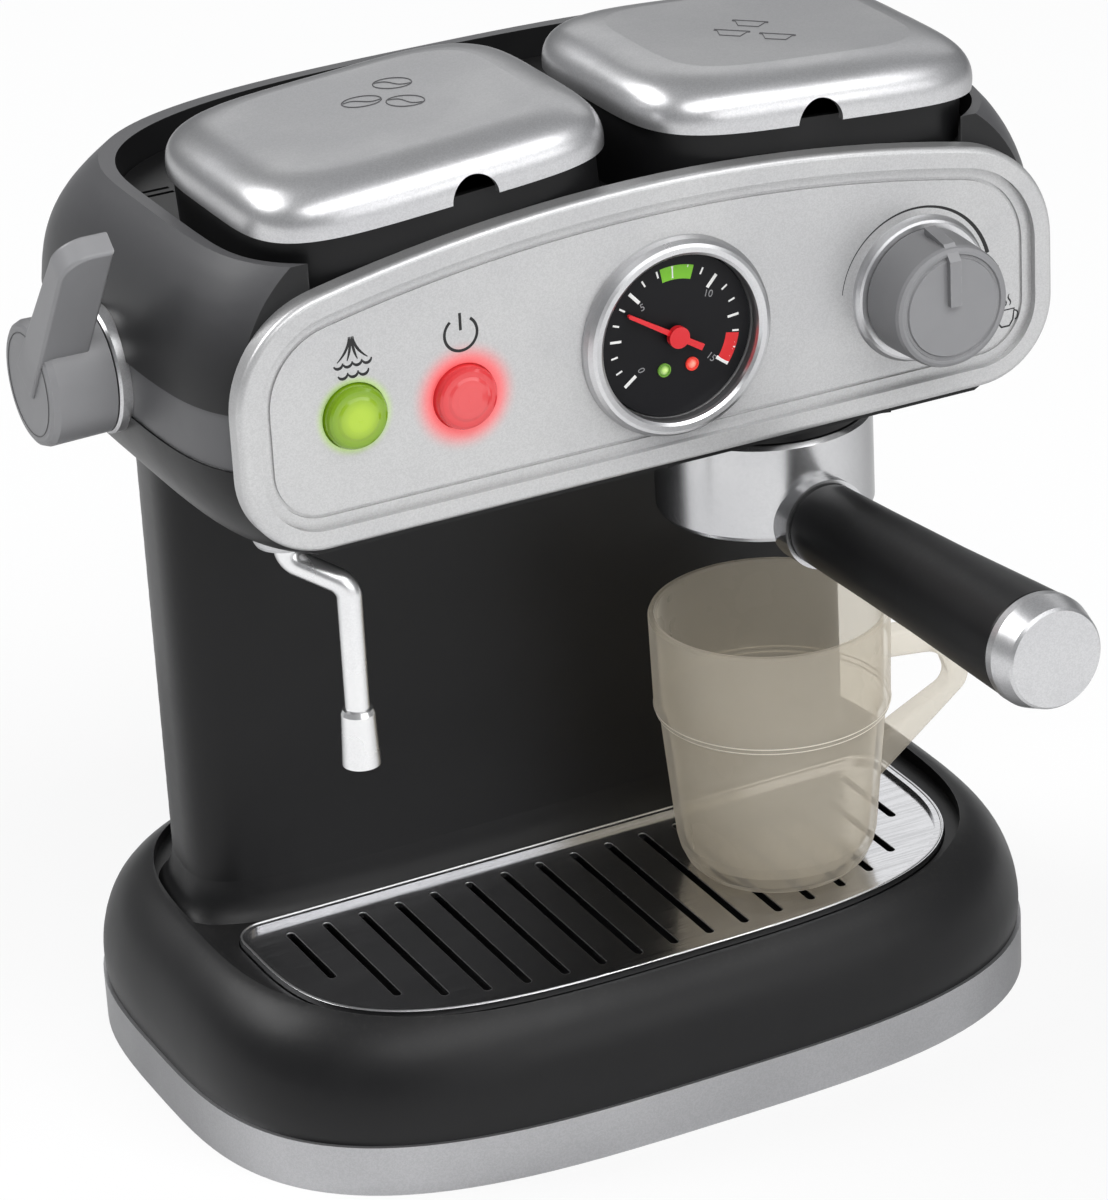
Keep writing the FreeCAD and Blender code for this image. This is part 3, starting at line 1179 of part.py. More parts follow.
def main():
    save("base_skirt", base_skirt())
    save("base_plate", base_plate())
    save("case_screws", case_screws())
    save("base_cover", base_cover())
    save("battery_box", battery_box())
    save("batteries", batteries())
    save("battery_contacts", battery_contacts())
    save("battery_door", battery_door())
    save("drip_pan", drip_pan())
    save("drip_grille", drip_grille())
    save("column_shell", column_shell())
    save("head_lower_shell", head_lower_shell())
    save("side_band", side_band())
    save("head_upper_shell", head_upper_shell())
    save("top_deck", top_deck())
    save("lid_left", lid(-1))
    save("lid_right", lid(1))
    save("hinge_pins", hinge_pins())
    save("front_panel", front_panel())
    save("gauge_bezel", gauge_bezel())
    save("gauge_dial", gauge_dial())
    save("gauge_needle", gauge_needle())
    save("steam_button", push_button("steam"))
    save("power_button", push_button("power"))
    save("circuit_board", circuit_board())
    save("button_switches", button_switches())
    save("button_lamps", button_lamps())
    save("selector_collar", selector_collar())
    save("selector_knob", selector_knob())
    save("shaft_clips", shaft_clips())
    save("lever_collar", lever_collar())
    save("side_lever", side_lever())
    save("group_head", group_head())
    save("bayonet_claws", bayonet_claws())
    save("filter_basket", filter_basket())
    save("handle_grip", handle_grip())
    save("handle_cap", handle_cap())
    save("steam_wand", steam_wand())
    save("wand_nozzle", wand_nozzle())
    save("wand_socket", wand_socket())
    save("cup", cup())
    save("water_tank", water_tank())
    save("tank_cap", tank_cap())
    save("water_pump", water_pump())
    save("water_hose", water_hose())


main()
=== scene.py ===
"""Looks of the toy coffee maker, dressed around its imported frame."""

import logging
import math
from dataclasses import dataclass, field
from enum import Enum

import bpy
from mathutils import Matrix, Vector
from mathutils.bvhtree import BVHTree


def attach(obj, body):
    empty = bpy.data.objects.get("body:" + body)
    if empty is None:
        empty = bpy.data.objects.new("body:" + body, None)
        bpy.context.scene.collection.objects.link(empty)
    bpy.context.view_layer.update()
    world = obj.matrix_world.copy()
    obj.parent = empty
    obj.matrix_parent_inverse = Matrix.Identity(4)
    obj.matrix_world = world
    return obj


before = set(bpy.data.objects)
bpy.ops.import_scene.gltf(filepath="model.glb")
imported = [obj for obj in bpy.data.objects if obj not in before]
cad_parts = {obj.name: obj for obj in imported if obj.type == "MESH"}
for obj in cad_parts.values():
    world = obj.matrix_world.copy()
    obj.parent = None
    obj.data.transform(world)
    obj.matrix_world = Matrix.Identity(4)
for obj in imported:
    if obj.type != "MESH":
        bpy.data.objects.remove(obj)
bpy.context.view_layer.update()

LOG = logging.getLogger("coffee_maker")
MM = 0.001

# Depths of the faces that marks and glows lie on, in mm.
PANEL_Y = -69.0
DIAL_Y = -68.7
LENS_Y = -72.2
LAMP_Y = -69.8

Colour = tuple[float, float, float]
Place = tuple[float, float, float]
Spot = tuple[float, float]

# Spots on the front, across and up in mm.
STEAM_LENS: Spot = (-77.1, 199.6)
POWER_LENS: Spot = (-49.7, 198.0)
GREEN_LAMP: Spot = (1.44, 192.46)
RED_LAMP: Spot = (8.75, 192.45)


class Body(Enum):
    """The bodies that the added pieces ride on."""

    HOUSING = "housing"
    LID_LEFT = "lid_left"
    LID_RIGHT = "lid_right"
    LEVER = "lever"
    GRILLE = "grille"
    CUP = "cup"


def linear(red: float, green: float, blue: float) -> Colour:
    """Turn a colour of 0 to 255 into linear light.

    Args:
        red: Red part, 0 to 255.
        green: Green part, 0 to 255.
        blue: Blue part, 0 to 255.

    Returns:
        The same colour in linear parts of 0 to 1.
    """
    parts = []
    for value in (red, green, blue):
        part = value / 255.0
        parts.append(part / 12.92 if part <= 0.04045 else ((part + 0.055) / 1.055) ** 2.4)
    return parts[0], parts[1], parts[2]


def in_metres(spot: Spot, depth: float) -> Place:
    """Turn a spot on the front into a place.

    Args:
        spot: How far across and up, in mm.
        depth: How far back, in mm.

    Returns:
        The place in metres.
    """
    return spot[0] * MM, depth * MM, spot[1] * MM


def round_spot(centre: Spot, radius: float, degrees: float) -> Spot:
    """Place a spot on a circle.

    Args:
        centre: Centre of the circle in mm.
        radius: Radius in mm.
        degrees: Direction from the centre.

    Returns:
        The spot in mm.
    """
    turn = math.radians(degrees)
    return centre[0] + radius * math.cos(turn), centre[1] + radius * math.sin(turn)


def arc_spots(centre: Spot, radius: float, first: float, last: float, count: int) -> list[Spot]:
    """Place spots along an arc.

    Args:
        centre: Centre of the arc in mm.
        radius: Radius in mm.
        first: Direction of the first spot in degrees.
        last: Direction of the last spot in degrees.
        count: How many spots.

    Returns:
        The spots in order.
    """
    step = (last - first) / (count - 1)
    return [round_spot(centre, radius, first + step * i) for i in range(count)]


def turned(spots: list[Spot], centre: Spot, degrees: float) -> list[Spot]:
    """Turn spots about the origin and move them.

    Args:
        spots: The spots in mm.
        centre: Where the origin goes, in mm.
        degrees: How far to turn.

    Returns:
        The turned and moved spots.
    """
    turn = math.radians(degrees)
    c, s = math.cos(turn), math.sin(turn)
    return [(centre[0] + u * c - v * s, centre[1] + u * s + v * c) for u, v in spots]


def swell(ends: float, more: float, count: int) -> list[float]:
    """Give widths that grow towards the middle of a stroke.

    Args:
        ends: Width at both ends in mm.
        more: How much wider the middle is, in mm.
        count: How many spots the stroke has.

    Returns:
        The widths.
    """
    return [ends + more * math.sin(math.pi * i / (count - 1)) for i in range(count)]


class Links:
    """A small helper that lays shader nodes and joins them."""

    def __init__(self, tree: bpy.types.NodeTree) -> None:
        """Keep the tree to work in."""
        self.tree = tree

    def add(self, kind: str, **settings: object) -> bpy.types.Node:
        """Add a node.

        Args:
            kind: Blender's node type.
            settings: Node properties to set.

        Returns:
            The new node.
        """
        node = self.tree.nodes.new(kind)
        for name, value in settings.items():
            setattr(node, name, value)
        return node

    def join(self, source: bpy.types.NodeSocket, target: bpy.types.NodeSocket) -> None:
        """Join two sockets."""
        self.tree.links.new(source, target)

    def feed(self, node: bpy.types.Node, name: str | int, value: object) -> None:
        """Set an input, from a socket where one is given and as a value otherwise.

        Args:
            node: Node that takes the value.
            name: Input's name or place.
            value: A socket, a number, a vector or a colour.
        """
        if isinstance(value, bpy.types.NodeSocket):
            self.join(value, node.inputs[name])
        else:
            node.inputs[name].default_value = value

    def maths(self, operation: str, first: object, second: object = 0.0,
              clamp: bool = False) -> bpy.types.NodeSocket:
        """Add a maths node.

        Args:
            operation: Blender's name of the operation.
            first: First number or socket.
            second: Second number or socket.
            clamp: Whether to keep the result between 0 and 1.

        Returns:
            The result's socket.
        """
        node = self.add("ShaderNodeMath", operation=operation, use_clamp=clamp)
        self.feed(node, 0, first)
        self.feed(node, 1, second)
        return node.outputs[0]

    def span(self, value: object, low: float, high: float, out_low: float = 0.0,
             out_high: float = 1.0) -> bpy.types.NodeSocket:
        """Map a number from one span to another.

        Args:
            value: Number or socket to map.
            low: Start of the first span.
            high: End of the first span.
            out_low: Start of the second span.
            out_high: End of the second span.

        Returns:
            The mapped number's socket.
        """
        node = self.add("ShaderNodeMapRange", clamp=True, interpolation_type="SMOOTHSTEP")
        self.feed(node, "Value", value)
        self.feed(node, "From Min", low)
        self.feed(node, "From Max", high)
        self.feed(node, "To Min", out_low)
        self.feed(node, "To Max", out_high)
        return node.outputs["Result"]

    def blend(self, share: object, first: object, second: object) -> bpy.types.NodeSocket:
        """Mix two colours.

        Args:
            share: How much of the second colour shows.
            first: First colour or socket.
            second: Second colour or socket.

        Returns:
            The mixed colour's socket.
        """
        node = self.add("ShaderNodeMix", data_type="RGBA")
        for place, value in ((0, share), (6, first), (7, second)):
            if isinstance(value, tuple):
                value = (*value, 1.0)
            self.feed(node, place, value)
        return node.outputs[2]

    def noise(self, vector: bpy.types.NodeSocket, scale: object, detail: float = 2.0,
              roughness: float = 0.5) -> bpy.types.NodeSocket:
        """Add a noise texture.

        Args:
            vector: Place to read.
            scale: Noise cells in a metre.
            detail: Levels of detail.
            roughness: Strength of the finer levels.

        Returns:
            The noise's grey value.
        """
        node = self.add("ShaderNodeTexNoise")
        self.join(vector, node.inputs["Vector"])
        self.feed(node, "Scale", scale)
        self.feed(node, "Detail", detail)
        self.feed(node, "Roughness", roughness)
        return node.outputs["Fac"]

    def mix_shaders(self, share: object, first: bpy.types.NodeSocket,
                    second: bpy.types.NodeSocket) -> bpy.types.NodeSocket:
        """Mix two shaders.

        Args:
            share: How much of the second shader shows.
            first: The first shader's socket.
            second: The second shader's socket.

        Returns:
            The mixed shader's socket.
        """
        node = self.add("ShaderNodeMixShader")
        self.feed(node, 0, share)
        self.join(first, node.inputs[1])
        self.join(second, node.inputs[2])
        return node.outputs[0]

    def upward(self) -> bpy.types.NodeSocket:
        """Measure how far a face turns up.

        Returns:
            The measure's socket, from -1 to 1.
        """
        ground = self.add("ShaderNodeNewGeometry")
        split = self.add("ShaderNodeSeparateXYZ")
        self.join(ground.outputs["Normal"], split.inputs[0])
        return split.outputs["Z"]

    def slant(self) -> bpy.types.NodeSocket:
        """Measure how far a face turns away from the eye.

        Returns:
            The measure's socket, from 0 to 1.
        """
        facing = self.add("ShaderNodeLayerWeight")
        facing.inputs["Blend"].default_value = 0.5
        return facing.outputs["Facing"]


class Effect(Enum):
    """Shader groups that more than one finish uses."""

    MOULD_GRAIN = "mould_grain"
    EDGE_WEAR = "edge_wear"
    SETTLED_DUST = "settled_dust"
    DRAWN_LINES = "drawn_lines"
    LAMP_HALO = "lamp_halo"


@dataclass
class EffectGroups:
    """Builds each shared shader group once and hands it out, with noise in cells to a metre."""

    grain_cells: float = 2600.0
    cloud_cells: float = 24.0
    rub_cells: float = 420.0
    speck_cells: float = 900.0
    film_cells: float = 30.0
    brush_cells: float = 1900.0
    brush_stretch: Place = (0.03, 1.0, 1.0)
    made: dict[Effect, bpy.types.NodeTree] = field(default_factory=dict)

    def __post_init__(self) -> None:
        """Build every group."""
        self.made = {
            Effect.MOULD_GRAIN: self.mould_grain(),
            Effect.EDGE_WEAR: self.edge_wear(),
            Effect.SETTLED_DUST: self.settled_dust(),
            Effect.DRAWN_LINES: self.drawn_lines(),
            Effect.LAMP_HALO: self.lamp_halo(),
        }

    def begin(self, effect: Effect, inputs: dict[str, object],
              outputs: tuple[str, ...]) -> tuple[Links, bpy.types.Node, bpy.types.Node]:
        """Open a new group with its sockets.

        Args:
            effect: Which effect the group is for.
            inputs: Names and first values of its inputs; None for a vector.
            outputs: Names of its number outputs.

        Returns:
            The helper, the group's input node and its output node.
        """
        tree = bpy.data.node_groups.new(effect.value, "ShaderNodeTree")
        for name, value in inputs.items():
            kind = "NodeSocketVector" if value is None else "NodeSocketFloat"
            socket = tree.interface.new_socket(name, in_out="INPUT", socket_type=kind)
            if value is not None:
                socket.default_value = value
        for name in outputs:
            tree.interface.new_socket(name, in_out="OUTPUT", socket_type="NodeSocketFloat")
        links = Links(tree)
        return links, links.add("NodeGroupInput"), links.add("NodeGroupOutput")

    def mould_grain(self) -> bpy.types.NodeTree:
        """Fine grain of a moulded skin: its height, soft clouds and small flecks.

        Returns:
            The group.
        """
        links, given, result = self.begin(
            Effect.MOULD_GRAIN, {"Vector": None, "Fineness": 1.0}, ("Height", "Cloud", "Fleck"))
        fine = links.maths("MULTIPLY", given.outputs["Fineness"], self.grain_cells)
        links.join(links.noise(given.outputs["Vector"], fine, 3.0, 0.6), result.inputs["Height"])
        cloud = links.noise(given.outputs["Vector"], self.cloud_cells, 4.0, 0.55)
        links.join(links.span(cloud, 0.32, 0.68), result.inputs["Cloud"])
        flecks = links.add("ShaderNodeTexVoronoi", feature="F1")
        links.join(given.outputs["Vector"], flecks.inputs["Vector"])
        links.join(fine, flecks.inputs["Scale"])
        split = links.add("ShaderNodeSeparateColor")
        links.join(flecks.outputs["Color"], split.inputs["Color"])
        links.join(split.outputs[0], result.inputs["Fleck"])
        return links.tree

    def edge_wear(self) -> bpy.types.NodeTree:
        """Mask of the handled edges, broken up by noise.

        Returns:
            The group.
        """
        links, given, result = self.begin(
            Effect.EDGE_WEAR, {"Vector": None, "Radius": 0.0006}, ("Mask",))
        rounded = links.add("ShaderNodeBevel", samples=4)
        links.join(given.outputs["Radius"], rounded.inputs["Radius"])
        ground = links.add("ShaderNodeNewGeometry")
        dot = links.add("ShaderNodeVectorMath", operation="DOT_PRODUCT")
        links.join(rounded.outputs["Normal"], dot.inputs[0])
        links.join(ground.outputs["Normal"], dot.inputs[1])
        edge = links.span(dot.outputs["Value"], 0.99, 0.86)
        rubs = links.noise(given.outputs["Vector"], self.rub_cells, 5.0, 0.65)
        patchy = links.span(rubs, 0.42, 0.62)
        links.join(links.maths("MULTIPLY", edge, patchy), result.inputs["Mask"])
        return links.tree

    def settled_dust(self) -> bpy.types.NodeTree:
        """Mask of the thin dust that lies on faces turned up.

        Returns:
            The group.
        """
        links, given, result = self.begin(
            Effect.SETTLED_DUST, {"Vector": None, "Amount": 0.1}, ("Mask",))
        upward = links.span(links.upward(), 0.35, 0.98)
        specks = links.noise(given.outputs["Vector"], self.speck_cells, 6.0, 0.7)
        film = links.noise(given.outputs["Vector"], self.film_cells, 3.0, 0.5)
        both = links.maths("ADD", links.span(specks, 0.5, 0.74),
                           links.span(film, 0.35, 0.75, 0.1, 0.5), clamp=True)
        share = links.maths("MULTIPLY", upward, both)
        amount = links.maths("MULTIPLY", share, given.outputs["Amount"], clamp=True)
        links.join(amount, result.inputs["Mask"])
        return links.tree

    def drawn_lines(self) -> bpy.types.NodeTree:
        """Fine lines that a brush leaves on bright metal.

        Returns:
            The group.
        """
        links, given, result = self.begin(
            Effect.DRAWN_LINES, {"Vector": None, "Fineness": 1.0}, ("Height", "Streak"))
        stretch = links.add("ShaderNodeMapping")
        links.join(given.outputs["Vector"], stretch.inputs["Vector"])
        stretch.inputs["Scale"].default_value = self.brush_stretch
        scale = links.maths("MULTIPLY", given.outputs["Fineness"], self.brush_cells)
        lines = links.noise(stretch.outputs["Vector"], scale, 3.0, 0.6)
        links.join(lines, result.inputs["Height"])
        links.join(links.span(lines, 0.35, 0.65), result.inputs["Streak"])
        return links.tree

    def lamp_halo(self) -> bpy.types.NodeTree:
        """Soft round mask about a spot: the painted glow round a lit button on the panel, and the
        bright middles of the lenses and dial lamps.

        Returns:
            The group.
        """
        links, given, result = self.begin(
            Effect.LAMP_HALO, {"Vector": None, "Centre": None, "Core": 0.007, "Reach": 0.013},
            ("Mask",))
        away = links.add("ShaderNodeVectorMath", operation="DISTANCE")
        links.join(given.outputs["Vector"], away.inputs[0])
        links.join(given.outputs["Centre"], away.inputs[1])
        node = links.add("ShaderNodeMapRange", clamp=True, interpolation_type="SMOOTHERSTEP")
        links.join(away.outputs["Value"], node.inputs["Value"])
        links.join(given.outputs["Core"], node.inputs["From Min"])
        links.join(given.outputs["Reach"], node.inputs["From Max"])
        node.inputs["To Min"].default_value = 1.0
        node.inputs["To Max"].default_value = 0.0
        links.join(node.outputs["Result"], result.inputs["Mask"])
        return links.tree

    def place(self, links: Links, effect: Effect, vector: bpy.types.NodeSocket,
              **values: object) -> bpy.types.Node:
        """Put a group into a material.

        Args:
            links: Helper of the material's tree.
            effect: Which group to place.
            vector: Place that the group reads.
            values: The group's other inputs.

        Returns:
            The group's node.
        """
        node = links.add("ShaderNodeGroup")
        node.node_tree = self.made[effect]
        links.join(vector, node.inputs["Vector"])
        for name, value in values.items():
            node.inputs[name].default_value = value
        return node


GROUPS = EffectGroups()
DUST = linear(150, 146, 140)
METAL_DUST = linear(120, 118, 114)
RUBBED_METAL = linear(240, 240, 240)
# Colour of the painted shade that metallic paints take where they are seen at a slant.
PAINTED_SLANT_SHADE = linear(66, 66, 68)


@dataclass(frozen=True)
class Sheet:
    """An open material: its helper, shader and output, and the place that its textures read."""

    material: bpy.types.Material
    links: Links
    shader: bpy.types.Node
    out: bpy.types.Node
    where: bpy.types.NodeSocket


def open_material(name: str) -> Sheet:
    """Start a material with a shader and object coordinates.

    Args:
        name: The finish's name.

    Returns:
        The open material.
    """
    material = bpy.data.materials.new(name)
    material.use_nodes = True
    tree = material.node_tree
    tree.nodes.clear()
    links = Links(tree)
    shader = links.add("ShaderNodeBsdfPrincipled")
    out = links.add("ShaderNodeOutputMaterial")
    links.join(shader.outputs[0], out.inputs["Surface"])
    where = links.add("ShaderNodeTexCoord").outputs["Object"]
    return Sheet(material, links, shader, out, where)


def relief(sheet: Sheet, height: bpy.types.NodeSocket, strength: float, distance: float) -> None:
    """Let a height change the shader's normal.

    Args:
        sheet: The open material.
        height: Height, 0 to 1.
        strength: Strength of the bump.
        distance: Depth in metres.
    """
    bump = sheet.links.add("ShaderNodeBump")
    bump.inputs["Strength"].default_value = strength
    bump.inputs["Distance"].default_value = distance
    sheet.links.join(height, bump.inputs["Height"])
    sheet.links.join(bump.outputs["Normal"], sheet.shader.inputs["Normal"])


def paint_shade_at_slant(links: Links, shade: bpy.types.NodeSocket,
                 amount: float) -> bpy.types.NodeSocket:
    """Paint shade into a metallic colour where it is seen at a slant, darkening it as flake paint
    does; this painted shade stands in for the dark reflections at its edges.

    Args:
        links: Helper of the material's tree.
        shade: The colour.
        amount: Share of the dark colour at the edge.

    Returns:
        The darkened colour's socket.
    """
    # Painted shade: the colour darkens as the face turns away from the eye.
    share = links.span(links.slant(), 0.25, 0.95, 0.0, amount)
    return links.blend(share, shade, PAINTED_SLANT_SHADE)


@dataclass(frozen=True)
class MouldedFinish:
    """A moulded plastic, bare or painted, with grain, clouds, rubbed edges and dust, and where set
    with painted light: shade at a slant, a lighter top, light lines along its edges.
    """

    name: str
    colour: Colour
    cloud: Colour
    edge: Colour
    roughness: float
    grain: float = 0.00003
    fineness: float = 1.0
    metallic: float = 0.0
    specular: float = 0.5
    coat: float = 0.0
    wear: float = 0.5
    dust: float = 0.1
    fleck: float = 0.0
    # Share of painted shade where the face is seen at a slant.
    slant_shade_share: float = 0.0
    # Lighter colour painted on faces that turn up, standing in for light from above.
    painted_top_light: Colour | None = None

    def build(self) -> bpy.types.Material:
        """Make the material.

        Returns:
            The finished material.
        """
        sheet = open_material(self.name)
        self.dress(sheet)
        return sheet.material

    def dress(self, sheet: Sheet) -> bpy.types.NodeSocket:
        """Lay the finish into an open material.

        Args:
            sheet: The open material.

        Returns:
            The colour's socket.
        """
        links, shader = sheet.links, sheet.shader
        grain = GROUPS.place(links, Effect.MOULD_GRAIN, sheet.where, Fineness=self.fineness)
        worn = GROUPS.place(links, Effect.EDGE_WEAR, sheet.where, Radius=0.0005)
        dusty = GROUPS.place(links, Effect.SETTLED_DUST, sheet.where, Amount=self.dust)
        shade = links.blend(grain.outputs["Cloud"], self.colour, self.cloud)
        if self.fleck:
            lift = links.span(grain.outputs["Fleck"], 0.0, 1.0, -self.fleck, self.fleck)
            bright = links.add("ShaderNodeHueSaturation")
            links.join(shade, bright.inputs["Color"])
            links.join(links.maths("ADD", lift, 1.0), bright.inputs["Value"])
            shade = bright.outputs["Color"]
        # Painted light: faces that turn up blend towards the lighter top colour.
        if self.painted_top_light:
            shade = links.blend(links.span(links.upward(), 0.02, 0.75), shade, self.painted_top_light)
        # Painted shade: metallic paints darken where they are seen at a slant.
        if self.slant_shade_share:
            shade = paint_shade_at_slant(links, shade, self.slant_shade_share)
        # Rubbed edges take the edge colour; on the grey band, with its high wear and light edge
        # colour, this is a painted highlight along the edges.
        rubbed = links.maths("MULTIPLY", worn.outputs["Mask"], self.wear)
        shade = links.blend(rubbed, shade, self.edge)
        shade = links.blend(dusty.outputs["Mask"], shade, DUST)
        links.join(shade, shader.inputs["Base Color"])
        spread = links.span(grain.outputs["Cloud"], 0.0, 1.0, self.roughness - 0.03,
                            self.roughness + 0.03)
        matt = links.maths("MULTIPLY", dusty.outputs["Mask"], 0.5)
        links.join(links.maths("ADD", spread, matt, clamp=True), shader.inputs["Roughness"])
        shader.inputs["Metallic"].default_value = self.metallic
        shader.inputs["Specular IOR Level"].default_value = self.specular
        shader.inputs["Coat Weight"].default_value = self.coat
        shader.inputs["Coat Roughness"].default_value = 0.12
        relief(sheet, grain.outputs["Height"], 0.35, self.grain)
        return shade


@dataclass(frozen=True)
class BrightFinish:
    """Bright metal, or plating that looks like it, with fine drawn lines."""

    name: str
    colour: Colour
    streak: Colour
    roughness: float
    fineness: float = 1.0
    lines: float = 0.15
    wear: float = 0.4

    def build(self) -> bpy.types.Material:
        """Make the material.

        Returns:
            The finished material.
        """
        sheet = open_material(self.name)
        links, shader = sheet.links, sheet.shader
        drawn = GROUPS.place(links, Effect.DRAWN_LINES, sheet.where, Fineness=self.fineness)
        worn = GROUPS.place(links, Effect.EDGE_WEAR, sheet.where, Radius=0.0004)
        dusty = GROUPS.place(links, Effect.SETTLED_DUST, sheet.where, Amount=0.08)
        shade = links.blend(drawn.outputs["Streak"], self.colour, self.streak)
        rubbed = links.maths("MULTIPLY", worn.outputs["Mask"], self.wear)
        shade = links.blend(rubbed, shade, RUBBED_METAL)
        shade = links.blend(dusty.outputs["Mask"], shade, METAL_DUST)
        links.join(shade, shader.inputs["Base Color"])
        spread = links.span(drawn.outputs["Streak"], 0.0, 1.0, self.roughness - 0.05,
                            self.roughness + 0.06)
        links.join(spread, shader.inputs["Roughness"])
        shader.inputs["Metallic"].default_value = 1.0
        relief(sheet, drawn.outputs["Height"], self.lines, 0.00003)
        return sheet.material


@dataclass(frozen=True)
class ClearFinish:
    """A see-through plastic with a milky share and fine clouds."""

    name: str
    colour: Colour
    deep: Colour
    roughness: float
    clear: float
    through: float = 0.0
    through_edge: float = 0.12
    milky: float = 0.35
    tint: Colour = (1.0, 1.0, 1.0)

    def build(self) -> bpy.types.Material:
        """Make the material.

        Returns:
            The finished material.
        """
        sheet = open_material(self.name)
        links, shader = sheet.links, sheet.shader
        grain = GROUPS.place(links, Effect.MOULD_GRAIN, sheet.where, Fineness=0.6)
        shade = links.blend(grain.outputs["Cloud"], self.colour, self.deep)
        links.join(shade, shader.inputs["Base Color"])
        spread = links.span(grain.outputs["Cloud"], 0.0, 1.0, self.roughness - 0.03,
                            self.roughness + 0.04)
        links.join(spread, shader.inputs["Roughness"])
        shader.inputs["Transmission Weight"].default_value = self.clear
        shader.inputs["IOR"].default_value = 1.45
        relief(sheet, grain.outputs["Height"], 0.2, 0.00002)
        if self.through:
            self.open_up(sheet, shade)
        return sheet.material

    def open_up(self, sheet: Sheet, shade: bpy.types.NodeSocket) -> None:
        """Let light pass straight and spread through the wall, less so where it is seen edge on.

        Args:
            sheet: The open material.
            shade: The wall's colour.
        """
        links = sheet.links
        milk = links.add("ShaderNodeBsdfTranslucent")
        links.join(shade, milk.inputs["Color"])
        body = links.mix_shaders(self.milky, sheet.shader.outputs[0], milk.outputs[0])
        passed = links.add("ShaderNodeBsdfTransparent")
        passed.inputs["Color"].default_value = (*self.tint, 1.0)
        share = links.span(links.slant(), 0.55, 1.0, self.through, self.through_edge)
        mixed = links.mix_shaders(share, body, passed.outputs[0])
        links.join(mixed, sheet.out.inputs["Surface"])


@dataclass(frozen=True)
class GlowFinish:
    """A lit lens: bright at its middle and deeper towards its edge. On the dial lamps the bright
    middle is a painted highlight and the emission a painted glow.
    """

    name: str
    middle: Colour
    rim: Colour
    centre: Place
    core: float
    reach: float
    strength: float

    def build(self) -> bpy.types.Material:
        """Make the material.

        Returns:
            The finished material.
        """
        sheet = open_material(self.name)
        links, shader = sheet.links, sheet.shader
        halo = GROUPS.place(links, Effect.LAMP_HALO, sheet.where, Centre=self.centre,
                            Core=self.core, Reach=self.reach)
        grain = GROUPS.place(links, Effect.MOULD_GRAIN, sheet.where, Fineness=0.8)
        shade = links.blend(halo.outputs["Mask"], self.rim, self.middle)
        links.join(shade, shader.inputs["Base Color"])
        links.join(shade, shader.inputs["Emission Color"])
        spread = links.span(grain.outputs["Cloud"], 0.0, 1.0, 0.16, 0.24)
        links.join(spread, shader.inputs["Roughness"])
        shader.inputs["Emission Strength"].default_value = self.strength
        shader.inputs["Coat Weight"].default_value = 0.4
        relief(sheet, grain.outputs["Height"], 0.15, 0.00002)
        return sheet.material


@dataclass(frozen=True)
class PaintedGlow:
    """A glow of a lit button, painted on the panel: its place, colour, radii in metres and strength.
    """

    centre: Place
    colour: Colour
    core: float
    reach: float
    share: float


@dataclass(frozen=True)
class PanelFinish:
    """The front panel's silver paint, with the glow of its two lit buttons painted into its colour and
    emission.
    """

    paint: MouldedFinish
    painted_glows: tuple[PaintedGlow, ...]
    strength: float = 0.3

    def build(self) -> bpy.types.Material:
        """Make the material.

        Returns:
            The finished material.
        """
        sheet = open_material(self.paint.name)
        links, shader = sheet.links, sheet.shader
        shade = self.paint.dress(sheet)
        glow: object = (0.0, 0.0, 0.0)
        # Painted light: each button's glow is blended into the panel's colour and given off as
        # emission.
        for halo in self.painted_glows:
            group = GROUPS.place(links, Effect.LAMP_HALO, sheet.where, Centre=halo.centre,
                                 Core=halo.core, Reach=halo.reach)
            amount = links.maths("MULTIPLY", group.outputs["Mask"], halo.share)
            shade = links.blend(amount, shade, halo.colour)
            glow = links.blend(amount, glow, halo.colour)
        links.join(shade, shader.inputs["Base Color"])
        links.join(glow, shader.inputs["Emission Color"])
        shader.inputs["Emission Strength"].default_value = self.strength
        return sheet.material


def ink(name: str, colour: Colour, cloud: Colour, edge: Colour, roughness: float = 0.4,
        specular: float = 0.4) -> bpy.types.Material:
    """Make a thin coat of ink, hardly rubbed and with little dust.

    Args:
        name: The ink's name.
        colour: Its colour.
        cloud: Its colour in the soft clouds.
        edge: Its colour where it is rubbed.
        roughness: How matt it is.
        specular: How much it mirrors.

    Returns:
        The finished material.
    """
    return MouldedFinish(name, colour, cloud, edge, roughness, grain=0.00001, fineness=2.0,
                         specular=specular, wear=0.1, dust=0.02).build()


